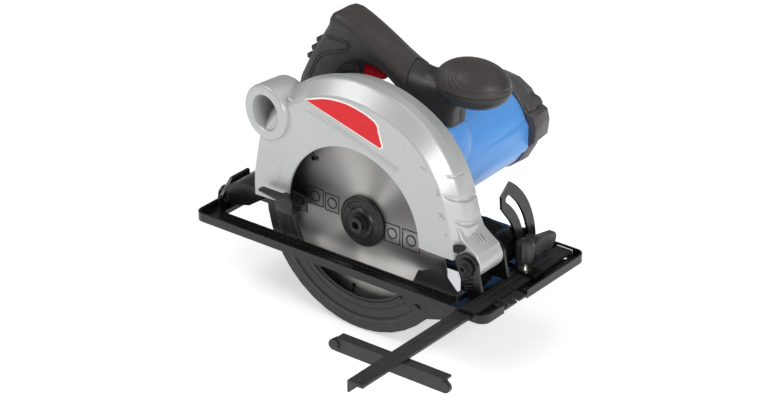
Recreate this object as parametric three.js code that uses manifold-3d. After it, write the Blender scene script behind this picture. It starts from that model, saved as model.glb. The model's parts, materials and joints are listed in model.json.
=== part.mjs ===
// Circular saw with a tilting, depth-adjustable saw head on a pressed steel base.
// Millimetres. +X is the cutting direction, +Y points to the motor, +Z is up.
// Inside the saw group, x = 0 and y = 0 are the arbor's x and the blade's middle plane, and
// z = 0 is the underside of the base. The exported group shifts that so that y = 0 is the
// middle of the base's wide land, where the saw rests on the work.
import * as THREE from 'three';
import { mergeVertices } from 'three/addons/utils/BufferGeometryUtils.js';
import Module from 'manifold-3d';

const wasm = await Module();
wasm.setup();

// ---------- driving dimensions ----------
const clearance = 0.3;
const slideGap = 0.6;

const rearLand = 17.4;
const frontLand = 44;
const baseNearY = -35;
const baseWidth = 150;
const baseSheet = 2;
const baseFlangeHeight = 8;
const baseCornerRadius = 9;
const slotNearY = -14.5;
const slotFarY = 29;
const slotLipHeight = 4.5;

const bladeRadius = 95;
const bladeThickness = 1.6;
const bladeTeeth = 18;
const boreRadius = 10;
const flangeRadius = 23.5;

const guardNearY = -15;
const guardFarY = 24;
const guardWall = 2.5;
const guardChamfer = 11;
const cavityFarY = 12;
const guardRim = 4;

const lowerGuardGap = 6;
const lowerGuardNearY = -11;
const lowerGuardFarY = 9;
const lowerGuardWall = 1.6;

const depthPivotZ = 35.3;
const noseRadius = 12;
const pivotBoltRadius = 4;
const yokeNearY = -13.3;
const yokeSheet = 3;
const yokeFarY = 27.2;
const earRadius = 12;

const bevelAxisZ = 14;
const bevelPinRadius = 3;
const quadrantSheet = 2.5;
const quadrantSlotRadius = 77.5;
const quadrantSlotWidth = 7;
const quadrantOuterRadius = quadrantSlotRadius + 14;
const quadrantInnerRadius = quadrantSlotRadius - 13;
const bevelBoltAngle = 5.5;
const bevelRange = 45;

const fenceBarWidth = 16;
const fenceBarThickness = 3;
const fenceBarNearY = -181;
const fenceBarFarY = baseNearY + baseWidth - 1;
const fenceShoeY = -128;
const fenceShoeLength = 118;
const fenceShoeDrop = 13;

const gearModule = 1.25;
const pinionTeeth = 9;
const gearTeeth = 45;
const toothBacklash = 0.5;
const gearAxisAngle = 77.3;
const gearNearY = 27;
const gearWidth = 9;

const gearCaseFarY = 44;
const gearCaseWall = 2;
const motorRadius = 44;
const motorDraft = 1.5;
const motorWall = 3;
const motorFarY = 170;
const capFarY = 203;
const statorNearY = 78;
const statorFarY = 122;
const statorOuterRadius = motorRadius - 6;
const armatureRadius = 22;
const airGap = 0.7;
const shaftRadius = 4.5;
const spindleRadius = 7;

const handleMidY = 66;
const handleHalfWidth = 18;
const handleRound = 6;
const handleWall = 3;

const lockOffX = -60;
const lockOffRadius = 5;
const glandRadius = 7;

const knobX = 65.6;
const knobHalfLength = 36;
const knobHalfWidth = 27;
const knobHalfHeight = 21;

const portNearY = -21;
const portRadius = 24.5;
const portBore = 16;
const portYaw = 7;

const depthRange = 28;
const depthGuideSheet = 3;
const depthGuideNearY = 27;
const depthBoltAngle = 6;

// ---------- helpers ----------
const degrees = THREE.MathUtils.degToRad;
const gearOuterRadius = gearModule * (gearTeeth / 2 + 1);
const gearCaseRadius = gearOuterRadius + 0.9 + gearCaseWall;
const caseGroundGap = 5.025;
const arborZ = gearCaseRadius + caseGroundGap;
const gearDistance = gearModule * (pinionTeeth + gearTeeth) / 2;
const motorX = gearDistance * Math.cos(degrees(gearAxisAngle));
const motorZ = arborZ + gearDistance * Math.sin(degrees(gearAxisAngle));
const housingTopZ = motorZ + motorRadius;

// The guards are drawn for a blade of this radius, and grow with the blade.
const drawnBladeRadius = 95;
const guardScale = bladeRadius / drawnBladeRadius;
const guardWindowRadius = 71.5 * guardScale;
const lowerGuardRadius = bladeRadius + lowerGuardGap;
const lowerGuardWindowRadius = guardWindowRadius - 1.5;
const tailReach = 108 * guardScale;
const portX = -93.6 * guardScale;
const portZ = arborZ + 82.9 * guardScale;

const slotRearX = -lowerGuardRadius - 48;
const slotFrontX = tailReach + 1.6;
const baseRearX = slotRearX - rearLand;
const baseFrontX = slotFrontX + frontLand;
const baseFarY = baseNearY + baseWidth;
const guardFrontReach = 113 * guardScale;
const depthPivotX = guardFrontReach + 5.5;
const quadrantX = slotFrontX + 4.4;
const guardRearReach = 121 * guardScale;
const guardRearAngle = 181.7;
const guideTopZ = arborZ + guardRearReach * Math.sin(degrees(guardRearAngle)) - 0.7;
const fenceBarX = baseFrontX - 21.7;
const depthGuideRadius = depthPivotX + 81.5;
const commutatorY = statorFarY + 9;
const brushY = commutatorY + 7;

// The handle is drawn over a motor housing whose top is at this height, and rises with it.
const drawnHousingTopZ = 114.22;
const handleLift = housingTopZ - drawnHousingTopZ;
const lockOffZ = 145 + handleLift;
const glandZ = 94 + handleLift;
const knobZ = 161.5 + handleLift;
const depthBoltX = depthPivotX - depthGuideRadius * Math.cos(degrees(depthBoltAngle));
const depthBoltZ = depthPivotZ + depthGuideRadius * Math.sin(degrees(depthBoltAngle));
const lockPinRadius = 3;
const lockRadius = 22;
const lockX = lockRadius * Math.cos(degrees(225));
const lockZ = arborZ + lockRadius * Math.sin(degrees(225));

function toSolid(geometry) {
  const bare = geometry.index ? geometry.clone() : geometry;
  bare.deleteAttribute('normal');
  bare.deleteAttribute('uv');
  const merged = mergeVertices(bare, 1e-4);
  return new wasm.Manifold(new wasm.Mesh({
    numProp: 3,
    vertProperties: new Float32Array(merged.attributes.position.array),
    triVerts: new Uint32Array(merged.index.array),
  }));
}

function toGeometry(solid) {
  const mesh = solid.getMesh();
  const geometry = new THREE.BufferGeometry();
  geometry.setAttribute('position', new THREE.BufferAttribute(mesh.vertProperties, 3));
  geometry.setIndex(new THREE.BufferAttribute(mesh.triVerts, 1));
  geometry.computeVertexNormals();
  return geometry;
}

function union(...solids) {
  return solids.reduce((joined, next) => joined.add(next));
}

function cut(solid, ...tools) {
  return tools.reduce((left, tool) => left.subtract(tool), solid);
}

const alongX = new THREE.Matrix4().makeBasis(
  new THREE.Vector3(0, 1, 0), new THREE.Vector3(0, 0, 1), new THREE.Vector3(1, 0, 0));
const alongY = new THREE.Matrix4().makeBasis(
  new THREE.Vector3(1, 0, 0), new THREE.Vector3(0, 0, 1), new THREE.Vector3(0, -1, 0));

function extrude(shape, depth, curveSegments = 12, bevel = null) {
  const options = { depth, curveSegments, bevelEnabled: false };
  if (bevel) Object.assign(options, { bevelEnabled: true }, bevel);
  return new THREE.ExtrudeGeometry(shape, options);
}

// A plate across Y: the shape is drawn in x and z.
function plateY(shape, nearY, farY, curveSegments = 12) {
  const geometry = extrude(shape, farY - nearY, curveSegments);
  geometry.applyMatrix4(alongY);
  geometry.translate(0, farY, 0);
  return toSolid(geometry);
}

// A plate across X: the shape is drawn in y and z.
function plateX(shape, rearX, frontX, curveSegments = 12) {
  const geometry = extrude(shape, frontX - rearX, curveSegments);
  geometry.applyMatrix4(alongX);
  geometry.translate(rearX, 0, 0);
  return toSolid(geometry);
}

// A plate across Z: the shape is drawn in x and y.
function plateZ(shape, lowZ, highZ, curveSegments = 12) {
  const geometry = extrude(shape, highZ - lowZ, curveSegments);
  geometry.translate(0, 0, lowZ);
  return toSolid(geometry);
}

function box(x0, x1, y0, y1, z0, z1) {
  const geometry = new THREE.BoxGeometry(x1 - x0, y1 - y0, z1 - z0);
  geometry.translate((x0 + x1) / 2, (y0 + y1) / 2, (z0 + z1) / 2);
  return toSolid(geometry);
}

function rodY(x, z, radius, y0, y1, segments = 24, farRadius = radius) {
  const geometry = new THREE.CylinderGeometry(farRadius, radius, y1 - y0, segments);
  geometry.translate(x, (y0 + y1) / 2, z);
  return toSolid(geometry);
}

function rodX(y, z, radius, x0, x1, segments = 16) {
  const geometry = new THREE.CylinderGeometry(radius, radius, x1 - x0, segments);
  geometry.rotateZ(-Math.PI / 2);
  geometry.translate((x0 + x1) / 2, y, z);
  return toSolid(geometry);
}

function rodZ(x, y, radius, z0, z1, segments = 16) {
  const geometry = new THREE.CylinderGeometry(radius, radius, z1 - z0, segments);
  geometry.rotateX(Math.PI / 2);
  geometry.translate(x, y, (z0 + z1) / 2);
  return toSolid(geometry);
}

function ringY(x, z, outer, inner, y0, y1, segments = 24) {
  return rodY(x, z, outer, y0, y1, segments).subtract(rodY(x, z, inner, y0 - 1, y1 + 1, segments));
}

// A turned piece about an axis along Y; the profile is closed, in [radius, y] pairs.
function turnedY(x, z, profile, segments = 28) {
  const points = profile.map(([radius, y]) => new THREE.Vector2(radius, y));
  points.push(points[0].clone());
  const geometry = new THREE.LatheGeometry(points, segments);
  geometry.translate(x, 0, z);
  let solid = toSolid(geometry);
  if (solid.volume() < 0) solid = toSolid(flipped(geometry));
  return solid;
}

function flipped(geometry) {
  const index = geometry.index.array;
  for (let i = 0; i < index.length; i += 3) {
    const swap = index[i];
    index[i] = index[i + 1];
    index[i + 1] = swap;
  }
  return geometry;
}

function polygon(points) {
  return new THREE.Shape(points.map(([a, b]) => new THREE.Vector2(a, b)));
}

function roundedRect(x0, x1, y0, y1, radius) {
  const shape = new THREE.Shape();
  shape.moveTo(x0 + radius, y0);
  shape.lineTo(x1 - radius, y0);
  shape.absarc(x1 - radius, y0 + radius, radius, -Math.PI / 2, 0);
  shape.lineTo(x1, y1 - radius);
  shape.absarc(x1 - radius, y1 - radius, radius, 0, Math.PI / 2);
  shape.lineTo(x0 + radius, y1);
  shape.absarc(x0 + radius, y1 - radius, radius, Math.PI / 2, Math.PI);
  shape.lineTo(x0, y0 + radius);
  shape.absarc(x0 + radius, y0 + radius, radius, Math.PI, Math.PI * 1.5);
  return shape;
}

// A curved slot or strap between two radii about a centre, with round ends.
function arcStrap(cx, cy, radius, width, fromDegrees, toDegrees) {
  const half = width / 2;
  const from = degrees(fromDegrees);
  const to = degrees(toDegrees);
  const shape = new THREE.Shape();
  shape.absarc(cx, cy, radius + half, from, to, false);
  shape.absarc(cx + radius * Math.cos(to), cy + radius * Math.sin(to), half, to, to + Math.PI, false);
  shape.absarc(cx, cy, radius - half, to, from, true);
  shape.absarc(cx + radius * Math.cos(from), cy + radius * Math.sin(from), half,
    from + Math.PI, from + 2 * Math.PI, false);
  return shape;
}

// A smooth closed or open run of points through [a, b] pairs.
function smoothRun(points, steps) {
  const curve = new THREE.SplineCurve(points.map(([a, b]) => new THREE.Vector2(a, b)));
  return curve.getPoints(steps).map((p) => [p.x, p.y]);
}

// A closed body through rings that lie across Y; all rings have the same number of points.
function loftY(rings) {
  const count = rings[0].points.length;
  const positions = [];
  rings.forEach(({ y, points }) => points.forEach(([x, z]) => positions.push(x, y, z)));
  const index = [];
  for (let ring = 0; ring < rings.length - 1; ring += 1) {
    for (let i = 0; i < count; i += 1) {
      const a = ring * count + i;
      const b = ring * count + (i + 1) % count;
      index.push(a, b, a + count, b, b + count, a + count);
    }
  }
  const capTriangles = (points) => THREE.ShapeUtils.triangulateShape(
    points.map(([x, z]) => new THREE.Vector2(x, z)), []);
  const last = (rings.length - 1) * count;
  capTriangles(rings[0].points).forEach(([a, b, c]) => index.push(c, b, a));
  capTriangles(rings[rings.length - 1].points).forEach(([a, b, c]) => index.push(last + a, last + b, last + c));
  const geometry = new THREE.BufferGeometry();
  geometry.setAttribute('position', new THREE.Float32BufferAttribute(positions, 3));
  geometry.setIndex(index);
  let solid = toSolid(geometry);
  if (solid.volume() < 0) solid = toSolid(flipped(geometry));
  return solid;
}

// ---------- finishes ----------
const finish = (color, roughness, metalness) => new THREE.MeshStandardMaterial({ color, roughness, metalness });
const silverPaint = finish(0xc9cccb, 0.42, 0.55);
const blackPaint = finish(0x1b1b1c, 0.45, 0.3);
const brushedSteel = finish(0xb4b3ae, 0.32, 0.95);
const darkSteel = finish(0x2a2a2c, 0.4, 0.8);
const bluePlastic = finish(0x3f86d6, 0.42, 0);
const charcoalPlastic = finish(0x3a393a, 0.6, 0);
const softGrip = finish(0x4b4645, 0.8, 0);
const redPlastic = finish(0xd42a38, 0.35, 0);
const zincSteel = finish(0xc4c4c0, 0.3, 0.95);
const copper = finish(0xb5683a, 0.35, 0.9);
const rubber = finish(0x202020, 0.85, 0);

const saw = new THREE.Group();
function add(name, solid, material) {
  const mesh = new THREE.Mesh(toGeometry(solid), material);
  mesh.name = name;
  saw.add(mesh);
}

// ---------- base ----------
const yokePlateX = slotFrontX + 3.2;
const frontTabX = yokePlateX + yokeSheet + slideGap;
const rearTabX = baseRearX + 4.5;
const tabSheet = 2.5;

function pivotTab(rearX) {
  const radius = 7.5;
  const footHalf = 9;
  const footZ = baseSheet / 2;
  const shape = new THREE.Shape();
  shape.moveTo(-footHalf, footZ);
  shape.lineTo(footHalf, footZ);
  shape.lineTo(radius, bevelAxisZ);
  shape.absarc(0, bevelAxisZ, radius, 0, Math.PI, false);
  shape.lineTo(-footHalf, footZ);
  return plateX(shape, rearX, rearX + tabSheet, 8);
}

function basePlate() {
  const outline = roundedRect(baseRearX, baseFrontX, baseNearY, baseFarY, baseCornerRadius);
  const inner = roundedRect(baseRearX + baseSheet, baseFrontX - baseSheet,
    baseNearY + baseSheet, baseFarY - baseSheet, baseCornerRadius - baseSheet);
  const tray = plateZ(outline, 0, baseFlangeHeight, 3)
    .subtract(plateZ(inner, baseSheet, baseFlangeHeight + 1, 3));
  const lip = plateZ(roundedRect(slotRearX - baseSheet, slotFrontX + baseSheet,
    slotNearY - baseSheet, slotFarY + baseSheet, 6), baseSheet / 2, slotLipHeight, 2);
  const slot = plateZ(roundedRect(slotRearX, slotFrontX, slotNearY, slotFarY, 4), -1, 20, 2);
  const frontRib = box(fenceBarX + 15.5, fenceBarX + 17.5, 34, baseFarY - 15, baseSheet / 2, 3.6);
  const pinHoles = rodX(0, bevelAxisZ, bevelPinRadius + clearance, baseRearX + 3, baseFrontX - 3);
  const sightNotch = box(baseFrontX - 6, baseFrontX + 1, -6, 27, -1, 20);
  const barNotches = box(fenceBarX - fenceBarWidth / 2 - slideGap, fenceBarX + fenceBarWidth / 2 + slideGap,
    baseNearY - 5, baseFarY + 5, baseSheet, baseSheet + fenceBarThickness + 2 * slideGap);
  const holes = [[-50, 40, 3], [-34.6, 47, 3.4], [-19.6, 42, 3], [-15.6, 104, 3.2], [-41.6, 104, 2]]
    .map(([x, y, radius]) => rodZ(baseFrontX + x, Math.min(y, baseFarY - 11), radius, -1, 5, 12));
  const sheet = cut(tray.add(lip), slot);
  return cut(union(sheet, frontRib, pivotTab(rearTabX), pivotTab(frontTabX)),
    pinHoles, sightNotch, barNotches, ...holes);
}

// The curved scale plate that the bevel bolt slides along; its foot is spot-welded to the land.
function bevelQuadrant() {
  const middle = (quadrantOuterRadius + quadrantInnerRadius) / 2;
  const slotTop = bevelBoltAngle + bevelRange;
  const arm = arcStrap(0, bevelAxisZ, middle, quadrantOuterRadius - quadrantInnerRadius, -2, slotTop - 8);
  const onArc = (radius, angle) =>
    [radius * Math.cos(degrees(angle)), bevelAxisZ + radius * Math.sin(degrees(angle))];
  const tip = polygon([
    onArc(quadrantOuterRadius, slotTop - 8),
    onArc(quadrantOuterRadius, slotTop - 3),
    onArc(quadrantOuterRadius, slotTop + 1.5),
    onArc(quadrantOuterRadius, slotTop + 5),
    onArc(quadrantOuterRadius - 15.5, slotTop + 8.5),
    onArc(quadrantInnerRadius + 2, slotTop + 2.5),
    onArc(quadrantInnerRadius, slotTop - 8),
  ]);
  const plate = union(plateX(arm, quadrantX, quadrantX + quadrantSheet, 7),
    plateX(tip, quadrantX, quadrantX + quadrantSheet));
  const slot = plateX(arcStrap(0, bevelAxisZ, quadrantSlotRadius, quadrantSlotWidth,
    bevelBoltAngle - 2, bevelBoltAngle + bevelRange + 0.5), quadrantX - 1, quadrantX + quadrantSheet + 1, 6);
  const footZ = baseSheet + clearance;
  const ground = box(quadrantX - 1, quadrantX + quadrantSheet + 1, 40, 110, -30, footZ);
  const foot = box(quadrantX - 9, quadrantX + quadrantSheet, quadrantInnerRadius - 1, quadrantOuterRadius,
    footZ, footZ + quadrantSheet);
  return cut(plate, slot, ground).add(foot);
}

function fenceBridge() {
  const z0 = baseSheet + clearance;
  const half = fenceBarWidth / 2 + 5;
  const top = baseSheet + fenceBarThickness + 2 * clearance;
  const arch = box(fenceBarX - half, fenceBarX + half, 50, 64, z0, top + 2.5);
  const tunnel = box(fenceBarX - fenceBarWidth / 2 - slideGap, fenceBarX + fenceBarWidth / 2 + slideGap,
    49, 65, z0 - 1, top);
  const screwHole = rodZ(fenceBarX, 57, 3 + clearance, top - 2, top + 5, 16);
  return cut(arch, tunnel, screwHole);
}

function cutLineGuide() {
  const x = baseFrontX - baseSheet;
  const z0 = baseSheet + clearance;
  const body = box(x - 10, x + 2.5, -5.4, 26.4, z0, z0 + 2);
  const ridge = box(x - 10, x + 2.5, -1.2, 1.2, z0 + 1, z0 + 4.5);
  const sight = box(x - 4, x + 5, 12, 15, z0 - 1, z0 + 6);
  return cut(body.add(ridge), sight);
}

const rearEarX = rearTabX + tabSheet + slideGap;
const earSheet = 3;

function bevelPin(x0, x1) {
  return union(rodX(0, bevelAxisZ, bevelPinRadius, x0, x1),
    rodX(0, bevelAxisZ, 5, x0 - 1.5, x0), rodX(0, bevelAxisZ, 5, x1, x1 + 1.5));
}

add('base_plate', basePlate(), blackPaint);
add('bevel_quadrant', bevelQuadrant(), blackPaint);
add('fence_bridge', fenceBridge(), blackPaint);
add('cut_line_guide', cutLineGuide(), charcoalPlastic);
add('front_bevel_pin', bevelPin(yokePlateX - clearance, frontTabX + tabSheet + clearance), darkSteel);
add('rear_bevel_pin', bevelPin(rearTabX - clearance, rearEarX + earSheet + clearance), darkSteel);

// ---------- rip fence ----------
const barLowZ = baseSheet + clearance;

function fenceBar() {
  const x0 = fenceBarX - fenceBarWidth / 2;
  const x1 = fenceBarX + fenceBarWidth / 2;
  const bar = box(x0, x1, fenceBarNearY, fenceBarFarY, barLowZ, barLowZ + fenceBarThickness);
  const rib = box(x0, x0 + 2, fenceBarNearY, fenceShoeY - 4, barLowZ - 8, barLowZ + 1);
  const groove = box(x0 + 6, x1 - 6, fenceBarNearY + 70, fenceBarFarY - 8,
    barLowZ + fenceBarThickness - 0.6, barLowZ + fenceBarThickness + 1);
  return cut(bar.add(rib), groove);
}

function fenceShoe() {
  const x0 = fenceBarX - 65;
  const x1 = x0 + fenceShoeLength;
  const topZ = barLowZ - clearance;
  const wall = plateY(roundedRect(x0, x1, topZ - fenceShoeDrop, topZ, 3), fenceShoeY, fenceShoeY + 2.5, 4);
  const shelf = box(x0 + 3, x1 - 3, fenceShoeY + 1, fenceShoeY + 10, topZ - 2, topZ);
  const ends = union(rodY(x0 + 1.5, topZ - 6.5, 5, fenceShoeY - 2, fenceShoeY + 2, 16),
    rodY(x1 - 1.5, topZ - 6.5, 5, fenceShoeY - 2, fenceShoeY + 2, 16));
  return union(wall, shelf, ends);
}

function fenceKnob() {
  const z0 = baseSheet + fenceBarThickness + 2 * clearance + 2.5;
  const stem = rodZ(fenceBarX, 57, 3, barLowZ + fenceBarThickness + clearance, z0 + 8, 16);
  const head = new THREE.CylinderGeometry(8.5, 8.5, 24, 20);
  head.rotateX(Math.PI / 2);
  head.translate(fenceBarX, 57, z0 + 4 + 12);
  const knurls = Array.from({ length: 10 }, (_, i) => {
    const angle = i * Math.PI / 5;
    return rodZ(fenceBarX + 9.2 * Math.cos(angle), 57 + 9.2 * Math.sin(angle), 1.4, z0, z0 + 40, 8);
  });
  return cut(stem.add(toSolid(head)), ...knurls);
}

add('fence_bar', fenceBar(), blackPaint);
add('fence_shoe', fenceShoe(), blackPaint);
add('fence_knob', fenceKnob(), charcoalPlastic);

// ---------- carriage: the front yoke and rear arm that tilt on the base ----------
const bevelBoltY = quadrantSlotRadius * Math.cos(degrees(bevelBoltAngle));
const bevelBoltZ = bevelAxisZ + quadrantSlotRadius * Math.sin(degrees(bevelBoltAngle));

function frontYoke() {
  const ear = (footZ) => {
    const shape = new THREE.Shape();
    shape.moveTo(yokePlateX, footZ);
    shape.lineTo(yokePlateX + 22, footZ);
    shape.lineTo(depthPivotX + earRadius, depthPivotZ);
    shape.absarc(depthPivotX, depthPivotZ, earRadius, 0, Math.PI * 0.92, false);
    shape.lineTo(yokePlateX, 22);
    return shape;
  };
  // The near ear swings down as the saw tilts, so it stops higher than the far ear.
  const nearEar = plateY(ear(16), yokeNearY, yokeNearY + yokeSheet, 8);
  const farEar = plateY(ear(12), yokeFarY - yokeSheet, yokeFarY, 8);
  const crossPlate = plateX(polygon([
    [yokeNearY, 12], [0, 5.5], [yokeFarY, 5.5], [yokeFarY, 21], [yokeNearY, 21],
  ]), yokePlateX, yokePlateX + yokeSheet);
  const armFrontX = quadrantX - clearance;
  const arm = plateX(polygon([
    [yokeFarY - yokeSheet, 8], [bevelBoltY + 9, 12], [bevelBoltY + 10, bevelBoltZ + 8], [56, 44], [38, 44],
    [35, 26], [yokeFarY - yokeSheet, 26],
  ]), armFrontX - yokeSheet, armFrontX);
  const gusset = plateY(polygon([
    [armFrontX - 26, 40], [armFrontX - 1, 12], [armFrontX - 1, 44],
    [armFrontX - 26, 46],
  ]), 53, 56);
  const bridge = box(yokePlateX - 2.4, yokePlateX + yokeSheet, yokeFarY - yokeSheet, yokeFarY + 3, 8, 26);
  const pivotHole = rodY(depthPivotX, depthPivotZ, pivotBoltRadius + clearance, yokeNearY - 1, yokeFarY + 1, 16);
  const pinHole = rodX(0, bevelAxisZ, bevelPinRadius + clearance, yokePlateX - 5, yokePlateX + 8);
  const boltHole = rodX(bevelBoltY, bevelBoltZ, 3 + clearance, armFrontX - 9, armFrontX + 1);
  return cut(union(nearEar, farEar, crossPlate, bridge, arm, gusset), pivotHole, pinHole, boltHole);
}

function depthGuide() {
  const ear = new THREE.Shape();
  ear.moveTo(-8, bevelAxisZ);
  ear.absarc(0, bevelAxisZ, 8, Math.PI, Math.PI * 1.5, false);
  ear.lineTo(depthGuideNearY + depthGuideSheet, bevelAxisZ - 8);
  ear.lineTo(depthGuideNearY + depthGuideSheet, guideTopZ - 5);
  ear.lineTo(6, guideTopZ - 5);
  ear.lineTo(-8, bevelAxisZ + 2);
  const rearEar = plateX(ear, rearEarX, rearEarX + earSheet, 8);
  const side = new THREE.Shape();
  side.moveTo(rearEarX, 9);
  side.lineTo(rearEarX, 16);
  side.quadraticCurveTo(rearEarX + 4, guideTopZ - 2, rearEarX + 26, guideTopZ);
  side.lineTo(rearEarX + 37.8, guideTopZ);
  side.lineTo(rearEarX + 46.8, guideTopZ - 9);
  side.lineTo(rearEarX + 30.8, 13);
  side.lineTo(rearEarX + 12, 8);
  const web = plateY(side, -4, depthGuideNearY + depthGuideSheet, 8);
  const hollow = box(rearEarX + earSheet + 1, rearEarX + 48.8, 0, depthGuideNearY, 0, guideTopZ - 4);
  const strap = plateY(polygon([[rearEarX, 9], [depthBoltX + 4.4, 14], [depthBoltX + 8.4, guideTopZ + 1],
    [rearEarX + 26, guideTopZ]]),
    depthGuideNearY, depthGuideNearY + depthGuideSheet);
  const arcFrom = 180 - depthBoltAngle - depthRange - 3;
  const arc = plateY(arcStrap(depthPivotX, depthPivotZ, depthGuideRadius, 18, arcFrom, 184),
    depthGuideNearY, depthGuideNearY + depthGuideSheet, 7);
  const slot = plateY(arcStrap(depthPivotX, depthPivotZ, depthGuideRadius, 7,
    180 - depthBoltAngle - depthRange - 0.5, 180 - depthBoltAngle + 0.5),
    depthGuideNearY - 1, depthGuideNearY + depthGuideSheet + 1, 7);
  const pinHole = rodX(0, bevelAxisZ, bevelPinRadius + clearance, rearEarX - 1, rearEarX + earSheet + 4);
  const pinHead = rodX(0, bevelAxisZ, 6, rearEarX + earSheet, rearEarX + earSheet + 4);
  return cut(union(cut(web, hollow), rearEar, strap, arc), slot, pinHole, pinHead);
}

const knobFaceX = quadrantX + quadrantSheet + slideGap;

function bevelBolt() {
  const headX = quadrantX - clearance - yokeSheet - clearance;
  return union(rodX(bevelBoltY, bevelBoltZ, 3, headX - 0.5, knobFaceX + 12),
    rodX(bevelBoltY, bevelBoltZ, 6.5, headX - 4, headX, 6));
}

function bevelWingKnob() {
  const hub = rodX(bevelBoltY, bevelBoltZ, 8, knobFaceX, knobFaceX + 14, 24);
  const wing = new THREE.Shape();
  wing.moveTo(bevelBoltY + 2, bevelBoltZ + 7);
  wing.lineTo(bevelBoltY + 26, bevelBoltZ + 3);
  wing.quadraticCurveTo(bevelBoltY + 31, bevelBoltZ - 1, bevelBoltY + 27, bevelBoltZ - 7);
  wing.lineTo(bevelBoltY + 20, bevelBoltZ - 14);
  wing.lineTo(bevelBoltY + 4, bevelBoltZ - 6);
  const flag = plateX(wing, knobFaceX + 5, knobFaceX + 11);
  const bore = rodX(bevelBoltY, bevelBoltZ, 3 + clearance, knobFaceX - 1, knobFaceX + 12.4);
  return cut(hub.add(flag), bore);
}

function pivotBolt() {
  const nearFace = yokeNearY - clearance;
  const farFace = yokeFarY + clearance;
  return union(rodY(depthPivotX, depthPivotZ, pivotBoltRadius, nearFace - 0.5, farFace + 4, 24),
    rodY(depthPivotX, depthPivotZ, 8.5, nearFace - 3, nearFace, 28),
    rodY(depthPivotX, depthPivotZ, 6.5, farFace, farFace + 5, 6));
}

add('front_yoke', frontYoke(), blackPaint);
add('depth_guide', depthGuide(), blackPaint);
add('bevel_bolt', bevelBolt(), zincSteel);
add('bevel_wing_knob', bevelWingKnob(), charcoalPlastic);
add('depth_pivot_bolt', pivotBolt(), darkSteel);

// ---------- upper guard ----------
// The outline runs from the rear leg over the top to the front, as radii about the arbor.
const guardRadii = [[guardRearAngle, 121], [168, 123], [150, 126], [122, 131], [99, 131], [78, 128.5],
  [55, 126], [37, 120], [22, 114], [10, 113], [0.5, 113]];
const guardOutlineSteps = 24;

function guardRing(y, inset, bottomDrop = 0) {
  const polar = smoothRun(guardRadii, guardOutlineSteps);
  const points = polar.map(([angle, drawnRadius]) => {
    const radius = drawnRadius * guardScale - inset;
    const level = Math.sin(degrees(angle));
    return [radius * Math.cos(degrees(angle)), arborZ + radius * level - (Math.abs(level) < 0.04 ? bottomDrop : 0)];
  });
  return { y, points: points.reverse() };
}

function guardBody() {
  return loftY([
    guardRing(guardNearY, guardChamfer + 1.5), guardRing(guardNearY + 1.2, guardChamfer),
    guardRing(-2, 1), guardRing(0, 0), guardRing(9, 0), guardRing(11, 1.5), guardRing(16, 2.5),
    guardRing(guardFarY, 5),
  ]);
}

function guardCavity() {
  const wallInset = guardRim;
  return loftY([
    guardRing(guardNearY + guardWall, guardChamfer + wallInset - 2, 12), guardRing(-2, 1 + wallInset, 12),
    guardRing(cavityFarY, 1.5 + wallInset, 12),
  ]);
}

function guardRearRecess() {
  return loftY([guardRing(cavityFarY + 3, 8), guardRing(guardFarY + 1, 9)])
    .subtract(rodY(0, arborZ, 42, 0, 40, 40))
    .subtract(rodY(motorX, motorZ, 52, 0, 40, 48))
    .subtract(box(depthPivotX - 58.5, depthPivotX + 11.5, 0, 40, 0, arborZ + 28.7));
}

function noseWeb() {
  const shape = new THREE.Shape();
  shape.moveTo(depthPivotX - 26.5, arborZ + 30);
  shape.lineTo(depthPivotX - 12.2, arborZ + 40);
  shape.quadraticCurveTo(depthPivotX + 4, arborZ + 26, depthPivotX + noseRadius, depthPivotZ + 3);
  shape.absarc(depthPivotX, depthPivotZ, noseRadius, 0.1, -Math.PI * 0.75, true);
  shape.lineTo(depthPivotX - 14.5, arborZ + 2);
  shape.lineTo(depthPivotX - 26.5, arborZ + 2);
  return plateY(shape, -9, guardFarY, 12);
}

function dustPort() {
  const length = 34;
  const outer = [[0, 0], [portRadius - 3, 0], [portRadius - 0.8, 0.8], [portRadius, 3], [portRadius, length], [0, length]];
  const inner = [[0, -1], [portBore, -1], [portBore, length - 8], [0, length - 8]];
  const turned = (profile) => {
    const geometry = new THREE.LatheGeometry(profile.map(([r, y]) => new THREE.Vector2(r, y)), 24);
    geometry.rotateZ(degrees(-portYaw));
    geometry.translate(portX, portNearY, portZ);
    let solid = toSolid(geometry);
    if (solid.volume() < 0) solid = toSolid(flipped(geometry));
    return solid;
  };
  return { outer: turned(outer), inner: turned(inner) };
}

function upperGuard() {
  const port = dustPort();
  const window = rodY(0, arborZ, guardWindowRadius, guardNearY - 2, guardNearY + guardWall + 0.5, 40);
  const hub = ringY(0, arborZ, 22, 14.3, cavityFarY - 3, guardFarY);
  const chute = new THREE.CylinderGeometry(12, 12, 40, 20);
  chute.rotateZ(degrees(60));
  chute.translate(portX + 18, -2, portZ - 14);
  const boltHole = rodY(depthPivotX, depthPivotZ, pivotBoltRadius + clearance, -12, guardFarY + 2, 24);
  const bearingHole = rodY(0, arborZ, 14.3, 0, guardFarY + 1, 32);
  const depthBoss = rodY(depthBoltX, depthBoltZ, 8, cavityFarY + 1, guardFarY, 24);
  const shell = cut(union(guardBody(), port.outer, noseWeb()), guardCavity(), guardRearRecess());
  const body = union(shell, hub, depthBoss);
  return cut(body, window, port.inner, toSolid(chute), boltHole, bearingHole,
    rodY(depthBoltX, depthBoltZ, 3 + clearance, cavityFarY + 2, guardFarY + 1, 16));
}

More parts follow.
